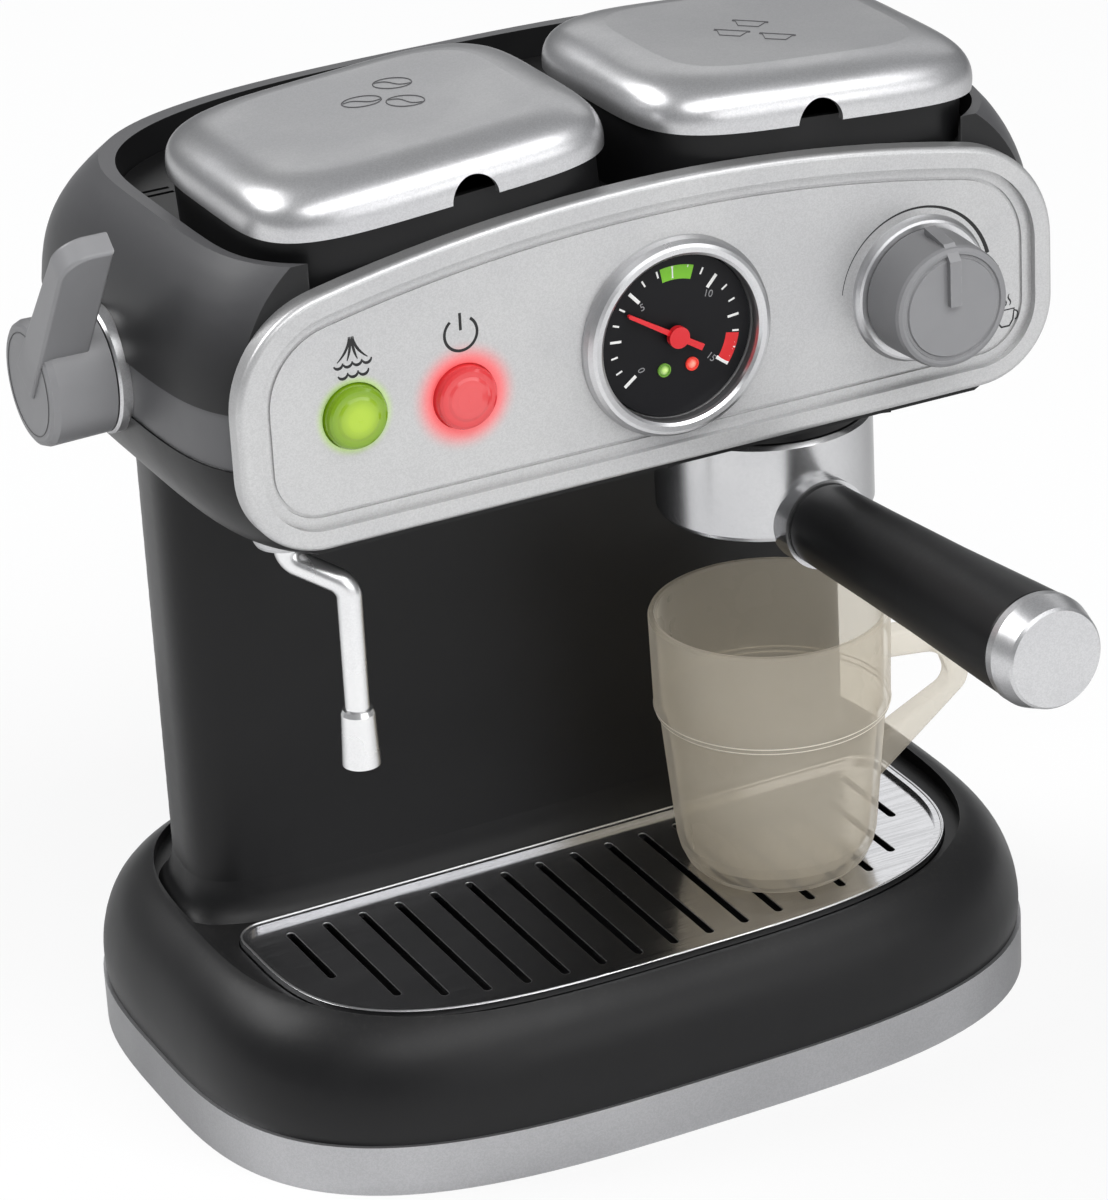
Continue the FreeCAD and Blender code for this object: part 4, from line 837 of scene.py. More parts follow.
class Finishes:
    """Every finish of the coffee maker: those of the record's slots, and those of single pieces."""

    def __init__(self) -> None:
        """Build the materials."""
        slots = (
            MouldedFinish("silver_skirt", linear(184, 184, 186), linear(176, 176, 178),
                          linear(214, 214, 214), 0.38, grain=0.00002, fineness=1.2, metallic=0.8,
                          coat=0.05, wear=0.3, dust=0.06, fleck=0.06, slant_shade_share=0.7),
            MouldedFinish("black_satin", linear(20, 20, 21), linear(24, 24, 25), linear(70, 70, 70),
                          0.42, specular=0.28, wear=0.3, dust=0.03),
            # The dark shell's upper faces are painted lighter, standing in for light from above.
            MouldedFinish("dark_shell", linear(24, 24, 25), linear(28, 28, 29), linear(84, 84, 84),
                          0.44, specular=0.35, wear=0.35, dust=0.04, painted_top_light=linear(78, 78, 80)),
            # The grey band's light edge lines are a painted highlight, laid through the edge-wear mask
            # by its high wear and light edge colour.
            MouldedFinish("grey_satin", linear(90, 90, 92), linear(85, 85, 87),
                          linear(170, 170, 170), 0.4, grain=0.00002, fineness=1.1, metallic=0.1,
                          wear=0.9, dust=0.04),
            MouldedFinish("knob_grey", linear(140, 140, 142), linear(134, 134, 136),
                          linear(176, 176, 176), 0.42, metallic=0.05, specular=0.4, wear=0.4,
                          dust=0.06, slant_shade_share=0.55),
            MouldedFinish("silver_paint", linear(206, 206, 207), linear(199, 199, 201),
                          linear(230, 230, 230), 0.34, grain=0.00002, fineness=1.3, metallic=0.82,
                          coat=0.1, wear=0.25, dust=0.04, fleck=0.06, slant_shade_share=0.6),
            BrightFinish("bright_plate", linear(214, 214, 216), linear(208, 208, 210), 0.2,
                         lines=0.02, wear=0.1),
            MouldedFinish("dial_black", linear(16, 16, 18), linear(20, 20, 23), linear(60, 60, 60),
                          0.42, grain=0.00001, fineness=1.5, specular=0.2, wear=0.2, dust=0.02),
            MouldedFinish("needle_red", linear(222, 30, 40), linear(210, 26, 36),
                          linear(240, 90, 90), 0.32, grain=0.00001, fineness=1.5, coat=0.2,
                          wear=0.3, dust=0.02),
            GlowFinish("lens_green", linear(166, 196, 50), linear(112, 148, 14),
                       in_metres(STEAM_LENS, LENS_Y), core=0.001, reach=0.0078, strength=0.12),
            GlowFinish("lens_red", linear(208, 74, 76), linear(202, 52, 56),
                       in_metres(POWER_LENS, LENS_Y), core=0.003, reach=0.0078, strength=0.2),
            ClearFinish("cup_smoke", linear(236, 230, 218), linear(230, 223, 210), 0.25, clear=0.0,
                        through=0.68, tint=linear(253, 251, 246)),
            ClearFinish("tank_clear", linear(226, 232, 236), linear(218, 226, 232), 0.12, clear=0.9),
            ClearFinish("hose_clear", linear(228, 230, 226), linear(216, 220, 216), 0.3, clear=0.7),
            MouldedFinish("inner_white", linear(214, 212, 206), linear(206, 204, 198),
                          linear(228, 226, 222), 0.45),
            MouldedFinish("board_green", linear(26, 92, 54), linear(22, 82, 48),
                          linear(150, 130, 70), 0.35, grain=0.00002, fineness=0.8, coat=0.3),
            MouldedFinish("switch_black", linear(28, 28, 30), linear(34, 34, 36),
                          linear(80, 80, 80), 0.4),
            ClearFinish("lamp_clear", linear(240, 240, 236), linear(230, 230, 226), 0.08, clear=0.85),
            MouldedFinish("cell_green", linear(44, 112, 62), linear(36, 100, 54),
                          linear(190, 190, 190), 0.3, grain=0.00001, metallic=0.2, coat=0.3),
            BrightFinish("steel", linear(178, 178, 180), linear(160, 160, 162), 0.3, fineness=1.4),
        )
        self.by_slot = {finish.name: finish.build() for finish in slots}
        self.satin_plate = MouldedFinish(
            "satin_plate", linear(216, 216, 217), linear(210, 210, 212), linear(236, 236, 236), 0.3,
            grain=0.00001, fineness=1.3, metallic=0.92, wear=0.1, dust=0.02, fleck=0.03,
            slant_shade_share=0.5).build()
        self.pale_plate = MouldedFinish(
            "pale_plate", linear(240, 240, 240), linear(234, 234, 235), linear(248, 248, 248), 0.28,
            grain=0.00001, fineness=1.3, metallic=0.9, wear=0.1, dust=0.02, fleck=0.03,
            slant_shade_share=0.85).build()
        self.gloss_silver = MouldedFinish(
            "gloss_silver", linear(206, 206, 207), linear(199, 199, 201), linear(230, 230, 230), 0.24,
            grain=0.00001, fineness=1.3, metallic=0.97, wear=0.2, dust=0.03, fleck=0.04,
            slant_shade_share=0.8).build()
        self.panel = self.panel_with_painted_glow()
        self.ink = ink("panel_ink", linear(26, 26, 27), linear(32, 32, 33), linear(60, 60, 60), 0.45)
        self.white_ink = ink("dial_white", linear(232, 232, 230), linear(222, 222, 220),
                             linear(240, 240, 240))
        self.grey_ink = ink("dial_grey", linear(140, 140, 142), linear(130, 130, 132),
                            linear(160, 160, 160))
        self.green_ink = ink("dial_green", linear(122, 190, 46), linear(112, 180, 40),
                             linear(150, 210, 90))
        self.red_ink = ink("dial_red", linear(214, 36, 40), linear(202, 30, 36),
                           linear(230, 90, 90))
        # Dark colour painted along the lid marks and the hub's ring, standing in for the shade in
        # their grooves.
        self.groove = ink("lid_groove_painted_shade", linear(92, 92, 93), linear(84, 84, 86),
                          linear(120, 120, 120), 0.5, 0.3)
        self.cup_line = ink("cup_line", linear(226, 220, 208), linear(216, 210, 198),
                            linear(236, 232, 224), 0.35, 0.5)
        # The dial lamps' bright middles are a painted highlight on their domes, and their emission a
        # painted glow.
        self.green_lamp_painted_light = GlowFinish(
            "dial_lamp_green", linear(190, 224, 130), linear(96, 140, 52),
            in_metres(GREEN_LAMP, LAMP_Y), core=0.0002, reach=0.0017, strength=0.25).build()
        self.red_lamp_painted_light = GlowFinish(
            "dial_lamp_red", linear(250, 150, 130), linear(214, 56, 44),
            in_metres(RED_LAMP, LAMP_Y), core=0.0002, reach=0.0017, strength=0.25).build()

    def panel_with_painted_glow(self) -> bpy.types.Material:
        """Make the front panel's paint with the glow of both buttons painted on it.

        Returns:
            The finished material.
        """
        paint = MouldedFinish(
            "panel_silver", linear(198, 198, 198), linear(191, 191, 192), linear(232, 232, 232),
            0.36, grain=0.00002, fineness=1.3, metallic=0.5, coat=0.1, wear=0.25, dust=0.04,
            fleck=0.06, slant_shade_share=0.35)
        # Painted glows of the power and steam buttons, round their lenses.
        red = PaintedGlow(in_metres(POWER_LENS, PANEL_Y), linear(240, 78, 82), 0.0068, 0.0142, 0.85)
        green = PaintedGlow(in_metres(STEAM_LENS, PANEL_Y), linear(176, 220, 40), 0.0068, 0.0104, 0.6)
        return PanelFinish(paint, (red, green)).build()

    def dress_frame(self, nodes: dict[str, bpy.types.Object]) -> None:
        """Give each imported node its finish.

        Args:
            nodes: The frame's nodes by name.
        """
        for node in nodes.values():
            for holder in node.material_slots:
                holder.material = self.by_slot[holder.material.name.split(".")[0]]
        chosen = {
            "front_panel": self.panel,
            "gauge_bezel": self.satin_plate,
            "selector_collar": self.satin_plate,
            "filter_basket": self.gloss_silver,
            "steam_wand": self.pale_plate,
            "wand_nozzle": self.pale_plate,
        }
        for name, material in chosen.items():
            nodes[name].material_slots[0].material = material


def clear_selection() -> None:
    """Leave nothing selected."""
    for chosen in bpy.context.selected_objects:
        chosen.select_set(False)


def make_active(piece: bpy.types.Object) -> None:
    """Select one piece alone."""
    clear_selection()
    piece.select_set(True)
    bpy.context.view_layer.objects.active = piece


def start_drawing(name: str) -> bpy.types.Object:
    """Start an empty drawing of wires.

    Args:
        name: The piece's name.

    Returns:
        The curve that the wires go into.
    """
    clear_selection()
    bpy.ops.curve.primitive_nurbs_path_add()
    piece = bpy.context.object
    piece.name = name
    piece.data.dimensions = "3D"
    piece.data.splines.clear()
    piece.data.bevel_resolution = 1
    return piece


def draw_wire(piece: bpy.types.Object, path: list[Vector] | list[Place], widths: list[float],
              closed: bool) -> None:
    """Draw one wire.

    Args:
        piece: The drawing.
        path: The wire's spots in mm.
        widths: Its widths at the spots, as shares of the drawing's own.
        closed: Whether it closes on itself.
    """
    spline = piece.data.splines.new("POLY")
    spline.points.add(len(path) - 1)
    spline.use_cyclic_u = closed
    for point, spot, width in zip(spline.points, path, widths):
        point.co = (spot[0] * MM, spot[1] * MM, spot[2] * MM, 1.0)
        point.radius = width


def end_drawing(piece: bpy.types.Object, radius: float, capped: bool) -> None:
    """Give the wires their thickness and make the drawing a mesh.

    Args:
        piece: The drawing.
        radius: The wires' radius in mm.
        capped: Whether their ends are closed.
    """
    piece.data.bevel_depth = radius * MM
    piece.data.use_fill_caps = capped
    make_active(piece)
    bpy.ops.object.convert(target="MESH")


def stand_up(piece: bpy.types.Object, spot: Spot, depth: float) -> None:
    """Turn a flat piece upright, facing forward, and move it to its spot.

    Args:
        piece: The piece, drawn flat about the origin.
        spot: Where the origin goes, across and up in mm.
        depth: The depth of its face in mm.
    """
    piece.data.transform(Matrix((
        (1.0, 0.0, 0.0, spot[0] * MM),
        (0.0, 0.0, -1.0, depth * MM),
        (0.0, 1.0, 0.0, spot[1] * MM),
        (0.0, 0.0, 0.0, 1.0))))


@dataclass(frozen=True)
class Stroke:
    """A drawn line with a width in mm at each of its spots."""

    spots: list[Spot]
    widths: list[float]
    closed: bool = False


@dataclass(frozen=True)
class Print:
    """A thin printed mark on the front, made of strokes, with its thickness a share of their width."""

    name: str
    strokes: list[Stroke]
    face_y: float
    thick: float

    def build(self) -> bpy.types.Object:
        """Draw the strokes as flat solids.

        Returns:
            The mark as one mesh.
        """
        piece = start_drawing(self.name)
        piece.data.twist_mode = "Z_UP"
        for stroke in self.strokes:
            path = [(across, up, 0.0) for across, up in stroke.spots]
            draw_wire(piece, path, stroke.widths, stroke.closed)
        end_drawing(piece, 0.5, True)
        piece.scale = (1.0, 1.0, self.thick)
        bpy.ops.object.transform_apply(location=False, rotation=False, scale=True)
        stand_up(piece, (0.0, 0.0), self.face_y)
        return piece


def line(first: Spot, last: Spot, width: float) -> Stroke:
    """Make a straight stroke.

    Args:
        first: Its start in mm.
        last: Its end in mm.
        width: Its width in mm.

    Returns:
        The stroke.
    """
    return Stroke([first, last], [width, width])


def round_wire(name: str, paths: list[list[Vector]], radius: float,
               closed: bool) -> bpy.types.Object:
    """Draw thin round wires along paths as one mesh.

    Args:
        name: The piece's name.
        paths: Lines of spots in mm.
        radius: The wires' radius in mm.
        closed: Whether each wire closes on itself.

    Returns:
        The mesh.
    """
    piece = start_drawing(name)
    for path in paths:
        draw_wire(piece, path, [1.0] * len(path), closed)
    end_drawing(piece, radius, not closed)
    return piece


def finish_piece(piece: bpy.types.Object, material: bpy.types.Material, body: Body,
                 angle: float = 30.0) -> None:
    """Dress a new piece and let it ride on its body.

    Args:
        piece: The piece.
        material: Its finish.
        body: The body that it rides on.
        angle: Edges sharper than this stay sharp, in degrees.
    """
    make_active(piece)
    bpy.ops.object.transform_apply(location=True, rotation=True, scale=True)
    bpy.ops.object.shade_smooth_by_angle(angle=math.radians(angle))
    piece.data.materials.clear()
    piece.data.materials.append(material)
    piece.data.name = piece.name
    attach(piece, body.value)


@dataclass(frozen=True)
class TickSize:
    """Length and width of one kind of tick, in mm."""

    length: float
    width: float


@dataclass
class Gauge:
    """The pressure gauge's printed face: ticks, zones, numbers and two small lamps."""

    finishes: Finishes
    centre: Spot = (4.7, 200.5)
    zero_angle: float = -143.4
    step: float = 14.08
    marks: int = 18
    outer: float = 16.9
    long_tick: TickSize = TickSize(3.7, 0.85)
    middle_tick: TickSize = TickSize(2.9, 0.62)
    short_tick: TickSize = TickSize(1.7, 0.45)
    zone_radius: float = 15.3
    zone_width: float = 3.4
    green_zone: tuple[float, float] = (101.0, 70.5)
    red_zone: tuple[float, float] = (-10.5, -36.4)
    hatch_turns: tuple[float, ...] = (-14.0, -20.0, -26.0)
    hatch_lean: float = 5.0
    hatch_inner: float = 14.6
    hatch_outer: float = 16.4
    hatch_width: float = 0.3
    numbers: tuple[tuple[str, Spot], ...] = (
        ("0", (-4.5, 193.7)), ("5", (-3.4, 209.0)), ("10", (13.8, 208.7)), ("15", (13.9, 192.9)))
    number_size: float = 2.5
    number_lean: float = 0.35
    number_half_thick: float = 0.03
    lamp_radius: float = 1.65
    lamp_thick: float = 0.5
    lamp_out: float = 0.2
    lamp_rim: float = 0.3
    lamp_gap: float = 0.05
    dome_steps: tuple[float, ...] = (0.35, 0.3, 0.25, 0.2)
    dome_rise: float = 0.6

    def tick(self, index: int) -> Stroke:
        """Draw one tick of the scale.

        Args:
            index: Its number from the zero mark.

        Returns:
            The stroke.
        """
        turn = self.zero_angle - index * self.step
        size = self.short_tick
        if index % 6 == 0:
            size = self.long_tick
        elif index % 3 == 0:
            size = self.middle_tick
        return line(round_spot(self.centre, self.outer, turn),
                    round_spot(self.centre, self.outer - size.length, turn), size.width)

    def print_on(self, name: str, strokes: list[Stroke], thick: float,
                 material: bpy.types.Material) -> None:
        """Print strokes on the dial.

        Args:
            name: The piece's name.
            strokes: The strokes.
            thick: Their thickness as a share of their width.
            material: Their ink.
        """
        finish_piece(Print(name, strokes, DIAL_Y, thick).build(), material, Body.HOUSING)

    def zone(self, name: str, ends: tuple[float, float], material: bpy.types.Material) -> None:
        """Print a coloured zone.

        Args:
            name: The piece's name.
            ends: Its start and end in degrees.
            material: Its ink.
        """
        spots = arc_spots(self.centre, self.zone_radius, ends[0], ends[1], 13)
        self.print_on(name, [Stroke(spots, [self.zone_width] * len(spots))], 0.02, material)

    def hatch(self) -> list[Stroke]:
        """Draw the fine slanted lines in the red zone.

        Returns:
            The strokes.
        """
        return [line(round_spot(self.centre, self.hatch_inner, turn),
                     round_spot(self.centre, self.hatch_outer, turn - self.hatch_lean),
                     self.hatch_width) for turn in self.hatch_turns]

    def numeral(self, text: str, spot: Spot) -> None:
        """Print one number of the scale, leaning a little with its place on the dial.

        Args:
            text: The number.
            spot: Its centre in mm.
        """
        clear_selection()
        bpy.ops.object.text_add()
        piece = bpy.context.object
        piece.name = f"dial_number_{text}"
        piece.data.body = text
        piece.data.size = self.number_size * MM
        piece.data.align_x = "CENTER"
        piece.data.align_y = "CENTER"
        piece.data.extrude = self.number_half_thick * MM
        bpy.ops.object.convert(target="MESH")
        lean = math.degrees(math.atan2(spot[1] - self.centre[1], spot[0] - self.centre[0])) - 90.0
        turn = math.radians(lean * self.number_lean)
        piece.data.transform(Matrix.Rotation(turn, 4, "Z"))
        stand_up(piece, spot, DIAL_Y)
        finish_piece(piece, self.finishes.grey_ink, Body.HOUSING)

    def lamp(self, name: str, spot: Spot, material: bpy.types.Material) -> None:
        """Add a small domed lamp in a ring.

        Args:
            name: The piece's name.
            spot: Its centre in mm.
            material: Its finish, a painted highlight and glow.
        """
        clear_selection()
        bpy.ops.mesh.primitive_cylinder_add(
            vertices=40, radius=self.lamp_radius * MM, depth=self.lamp_thick * MM,
            location=in_metres(spot, DIAL_Y - self.lamp_out),
            rotation=(math.radians(90.0), 0.0, 0.0))
        piece = bpy.context.object
        piece.name = name
        bpy.ops.object.transform_apply(location=True, rotation=True, scale=True)
        inset_front(piece, self.lamp_rim * MM, 0.0)
        inset_front(piece, self.lamp_gap * MM, -self.lamp_out * MM)
        for step in self.dome_steps:
            inset_front(piece, step * MM, step * self.dome_rise * MM)
        finish_piece(piece, material, Body.HOUSING, 45.0)

    def build(self) -> None:
        """Build and dress the gauge's face."""
        ticks = [self.tick(i) for i in range(self.marks + 1)]
        self.print_on("dial_ticks", ticks, 0.12, self.finishes.white_ink)
        self.zone("dial_green_zone", self.green_zone, self.finishes.green_ink)
        self.zone("dial_red_zone", self.red_zone, self.finishes.red_ink)
        self.print_on("dial_red_hatch", self.hatch(), 0.18, self.finishes.white_ink)
        for text, spot in self.numbers:
            self.numeral(text, spot)
        self.lamp("dial_lamp_green", GREEN_LAMP, self.finishes.green_lamp_painted_light)
        self.lamp("dial_lamp_red", RED_LAMP, self.finishes.red_lamp_painted_light)
        LOG.info("gauge face: %d ticks, 2 zones, 4 numbers, 2 lamps", len(ticks))


def inset_front(piece: bpy.types.Object, width: float, rise: float) -> None:
    """Inset the face that looks forward and is nearest to the viewer.

    Args:
        piece: The piece, its front towards -Y.
        width: Inset in metres.
        rise: How far the new face moves forward in metres.
    """
    make_active(piece)
    front = min(piece.data.polygons, key=lambda p: (p.normal.y > -0.9, -len(p.vertices)))
    for part in (piece.data.polygons, piece.data.edges, piece.data.vertices):
        for item in part:
            item.select = False
    front.select = True
    bpy.ops.object.mode_set(mode="EDIT")
    bpy.ops.mesh.select_mode(type="FACE")
    bpy.ops.mesh.inset(thickness=width, depth=rise)
    bpy.ops.object.mode_set(mode="OBJECT")


@dataclass
class PanelPrints:
    """The marks printed on the front panel, with sizes in mm."""

    finishes: Finishes
    steam: Spot = (-76.7, 213.6)
    wisp_leans: tuple[float, ...] = (-1.6, -0.55, 0.55, 1.6)
    wisp_top: float = 5.0
    wisp_tall: float = 5.6
    puff_rows: tuple[tuple[float, int, float], ...] = ((-0.9, 4, 1.15), (-3.4, 3, 1.25))
    power: Spot = (-49.7, 213.2)
    power_radius: float = 4.1
    power_width: float = 0.72
    selector: Spot = (69.2, 197.6)
    selector_radius: float = 20.3
    selector_dot: Spot = (22.2, 0.7)
    serving: Spot = (93.6, 185.2)
    thick: float = 0.08

    def steam_strokes(self) -> list[Stroke]:
        """Draw wisps of steam over two rows of puffs.

        Returns:
            The strokes.
        """
        x, z = self.steam
        strokes = []
        for lean in self.wisp_leans:
            spots = []
            for i in range(9):
                down = i / 8
                spots.append((x + lean * (0.35 + 2.0 * down ** 2.2),
                              z + self.wisp_top - self.wisp_tall * down))
            strokes.append(Stroke(spots, swell(0.25, 0.42, 9)))
        for row, count, radius in self.puff_rows:
            for i in range(count):
                centre = (x + (i - (count - 1) / 2) * radius * 2.05, z + row)
                puff = arc_spots(centre, radius, 200.0, 360.0, 11)
                strokes.append(Stroke(puff, swell(0.35, 0.4, 11)))
        return strokes

    def power_strokes(self) -> list[Stroke]:
        """Draw a broken ring with an upright bar in its gap.

        Returns:
            The strokes.
        """
        x, z = self.power
        ring = arc_spots(self.power, self.power_radius, 128.0, 412.0, 41)
        bar = line((x, z + 0.8), (x, z + 5.0), self.power_width)
        return [Stroke(ring, [self.power_width] * len(ring)), bar]

    def selector_strokes(self) -> list[Stroke]:
        """Draw the selector's arc, which grows from thin to thick, and the dot at its end.

        Returns:
            The strokes.
        """
        arc = arc_spots(self.selector, self.selector_radius, 172.0, 14.0, 65)
        widths = [0.22 + 0.85 * (i / 64) ** 1.5 for i in range(65)]
        x, z = self.selector[0] + self.selector_dot[0], self.selector[1] + self.selector_dot[1]
        return [Stroke(arc, widths), line((x, z - 0.35), (x, z + 0.35), 1.1)]

    def serving_strokes(self) -> list[Stroke]:
        """Draw a small steaming cup.

        Returns:
            The strokes.
        """
        x, z = self.serving
        half = [(2.5, 1.6), (2.1, -1.2), (1.1, -2.6)]
        bowl = [(x - u, z + v) for u, v in half] + [(x + u, z + v) for u, v in reversed(half)]
        ear = arc_spots((x + 2.4, z - 0.1), 1.2, 80.0, -80.0, 9)
        strokes = [Stroke(bowl, [0.5] * len(bowl), True), Stroke(ear, [0.4] * len(ear))]
        for shift in (-1.2, 0.0, 1.2):
            wisp = [(x + shift + 0.35 * math.sin(k * 0.9), z + 2.6 + 0.42 * k) for k in range(8)]
            strokes.append(Stroke(wisp, swell(0.2, 0.25, 8)))
        return strokes

    def build(self) -> None:
        """Build and dress the prints."""
        marks = {
            "steam_mark": self.steam_strokes(),
            "power_mark": self.power_strokes(),
            "selector_scale": self.selector_strokes(),
            "serving_mark": self.serving_strokes(),
        }
        for name, strokes in marks.items():
            finish_piece(Print(name, strokes, PANEL_Y, self.thick).build(), self.finishes.ink,
                         Body.HOUSING)
        LOG.info("panel prints: %s", ", ".join(marks))


@dataclass
class LidMarks:
    """The fine marks engraved in the lids' tops, drawn as dark wires whose colour is painted shade in
    the grooves, with places as seen from above, in mm.
    """

    finishes: Finishes
    lift: float = 0.02
    wire: float = 0.16
    cast_from: float = 400.0
    bean_long: float = 4.6
    bean_wide: float = 3.4
    crease: float = 0.9
    beans: tuple[tuple[Spot, float], ...] = (
        ((-40.4, -19.6), -38.0), ((-50.9, -25.3), -20.0), ((-43.0, -32.2), -48.0))
    capsules: tuple[tuple[Spot, float], ...] = (
        ((48.9, -28.4), -36.0), ((41.2, -33.5), -36.0), ((49.5, -40.5), -36.0))

    def bean(self, centre: Spot, turn: float) -> list[list[Spot]]:
        """Draw a coffee bean: an oval with an S-shaped crease.

        Args:
            centre: Its centre on the lid.
            turn: Direction of its long axis in degrees.

        Returns:
            The outline and the crease.
        """
        oval = []
        for i in range(33):
            round_it = math.pi * i / 16
            oval.append((self.bean_long * math.cos(round_it), self.bean_wide * math.sin(round_it)))
        crease = [(self.bean_long * (k / 7 - 1.0), self.crease * math.sin(math.tau * k / 14))
                  for k in range(15)]
        return [turned(oval, centre, turn), turned(crease, centre, turn)]

    def capsule(self, centre: Spot, turn: float) -> list[list[Spot]]:
        """Draw a coffee capsule: a small tapered pot with a rim.

        Args:
            centre: Its centre on the lid.
            turn: Direction of its base in degrees.

        Returns:
            The outline.
        """
        left = [(-4.2, 2.2), (-4.2, 1.5), (-3.5, 1.4), (-2.4, -2.2)]
        right = [(-u, v) for u, v in reversed(left)]
        return [turned(left + right + left[:1], centre, turn)]

    def engrave(self, name: str, lid: bpy.types.Object, paths: list[list[Spot]],
                body: Body) -> None:
        """Lay lines on a lid's top as fine dark wires, painted dark to stand in for the shade in
        engraved grooves.

        Args:
            name: The piece's name.
            lid: The lid's node.
            paths: Lines of spots, seen from above.
            body: The lid's body.
        """
        tree = BVHTree.FromObject(lid, bpy.context.evaluated_depsgraph_get())
        down = Vector((0.0, 0.0, -1.0))
        lines = []
        for path in paths:
            hits = [tree.ray_cast(Vector((x, y, self.cast_from)) * MM, down)[0] for x, y in path]
            lines.append([hit / MM + Vector((0.0, 0.0, self.lift)) for hit in hits])
        finish_piece(round_wire(name, lines, self.wire, False), self.finishes.groove, body, 60.0)

    def build(self, nodes: dict[str, bpy.types.Object]) -> None:
        """Engrave both lids.

        Args:
            nodes: The frame's nodes by name.
        """
        beans = [path for centre, turn in self.beans for path in self.bean(centre, turn)]
        self.engrave("bean_mark", nodes["lid_left"], beans, Body.LID_LEFT)
        pots = [path for centre, turn in self.capsules for path in self.capsule(centre, turn)]
        self.engrave("capsule_mark", nodes["lid_right"], pots, Body.LID_RIGHT)
        LOG.info("lid marks: %d bean lines, %d capsule lines", len(beans), len(pots))


@dataclass
class GrilleBeads:
    """The thin rolled beads round the grille's slots and along its rim, with sizes in mm."""

    finishes: Finishes
    half_width: float = 91.8
    front_depth: float = 57.8
    centre_y: float = -14.0
    back_y: float = -1.3
    power: float = 3.2
    corner: float = 7.4
    rim_inset: float = 0.5
    rim_z: float = 40.95
    plate_z: float = 39.62
    slots: int = 17
    pitch: float = 9.87
    slot_half: float = 1.2
    slot_back: float = -9.55
    slot_side_inset: float = 11.2
    slot_front_inset: float = 7.2
    bead: float = 0.2
    rim_bead: float = 0.3
    rim_steps: int = 96

    def slot_path(self, index: int) -> list[Vector]:
        """Trace one slot's edge.

        Args:
            index: The slot's number from the left.

        Returns:
            The closed line of spots.
        """
        x = (index - (self.slots - 1) / 2) * self.pitch
        half = self.half_width - self.slot_side_inset
        depth = self.front_depth - self.slot_front_inset
        reach = (1.0 - abs(x / half) ** self.power) ** (1.0 / self.power)
        front = self.centre_y - depth * reach + self.slot_half
        spots = arc_spots((x, self.slot_back), self.slot_half, 0.0, 180.0, 9)
        spots += arc_spots((x, front), self.slot_half, 180.0, 360.0, 9)
        return [Vector((u, v, self.plate_z)) for u, v in spots]

    def rim_path(self) -> list[Vector]:
        """Trace the rim's outer edge.

        Returns:
            The closed line of spots.
        """
        half = self.half_width - self.rim_inset
        depth = self.front_depth - self.rim_inset
        back = self.back_y - self.rim_inset
        spots = arc_spots((half - self.corner, back - self.corner), self.corner, 0.0, 90.0, 9)
        spots += arc_spots((-half + self.corner, back - self.corner), self.corner, 90.0, 180.0, 9)
        for i in range(1, self.rim_steps):
            turn = math.pi * (1.0 + i / self.rim_steps)
            across = math.copysign(abs(math.cos(turn)) ** (2.0 / self.power), math.cos(turn))
            along = abs(math.sin(turn)) ** (2.0 / self.power)
            spots.append((half * across, self.centre_y - depth * along))
        return [Vector((u, v, self.rim_z)) for u, v in spots]

    def build(self) -> None:
        """Build and dress the beads."""
        paths = [self.slot_path(i) for i in range(self.slots)]
        beads = round_wire("slot_beads", paths, self.bead, True)
        finish_piece(beads, self.finishes.pale_plate, Body.GRILLE, 60.0)
        edge = round_wire("rim_bead", [self.rim_path()], self.rim_bead, True)
        finish_piece(edge, self.finishes.pale_plate, Body.GRILLE, 60.0)
        LOG.info("grille: %d slot beads and the rim's", len(paths))


@dataclass
class Rings:
    """The cup's fine lines and the ring grooved in the lever's hub, drawn as a dark wire of painted
    shade, with sizes in mm.
    """

    finishes: Finishes
    hub_x: float = -131.02
    hub_centre: Spot = (-6.0, 198.0)
    hub_radius: float = 12.3
    cup_centre: Spot = (42.7, -39.3)
    cup_line_z: tuple[float, float] = (85.2, 83.9)
    cup_steps: int = 96
    cast_from: float = 36.0
    wire: float = 0.16

    def hub(self) -> list[Vector]:
        """Trace the hub's groove.

        Returns:
            The closed line of spots.
        """
        spots = arc_spots(self.hub_centre, self.hub_radius, 0.0, 355.0, 72)
        return [Vector((self.hub_x, y, z)) for y, z in spots]

    def cup(self, tree: BVHTree, z: float) -> list[Vector]:
        """Trace a level ring round the cup's outside, past the ear.

        Args:
            tree: The cup's surface.
            z: The line's height.

        Returns:
            The closed line of spots.
        """
        centre = Vector((*self.cup_centre, z))
        turns = [math.tau * i / self.cup_steps for i in range(self.cup_steps)]
        aways = [Vector((math.cos(turn), math.sin(turn), 0.0)) for turn in turns]
        radii = []
        for away in aways:
            hit = tree.ray_cast((centre + away * self.cast_from) * MM, -away)[0]
            radii.append((hit / MM - centre).length)
        radius = sorted(radii)[self.cup_steps // 2]
        return [centre + away * radius for away in aways]

    def build(self, nodes: dict[str, bpy.types.Object]) -> None:
        """Build and dress the rings.

        Args:
            nodes: The frame's nodes by name.
        """
        finish_piece(round_wire("hub_groove", [self.hub()], self.wire, True),
                     self.finishes.groove, Body.LEVER, 60.0)
        tree = BVHTree.FromObject(nodes["cup"], bpy.context.evaluated_depsgraph_get())
        lines = [self.cup(tree, z) for z in self.cup_line_z]
        finish_piece(round_wire("cup_lines", lines, self.wire, True), self.finishes.cup_line,
                     Body.CUP, 60.0)
        LOG.info("rings: hub groove and %d cup lines", len(lines))


@dataclass(frozen=True)
class SoftBox:
    """A lamp: its name, its place, width and height in metres, and its power in watts."""

    name: str
    place: Place
    size: tuple[float, float]
    power: float


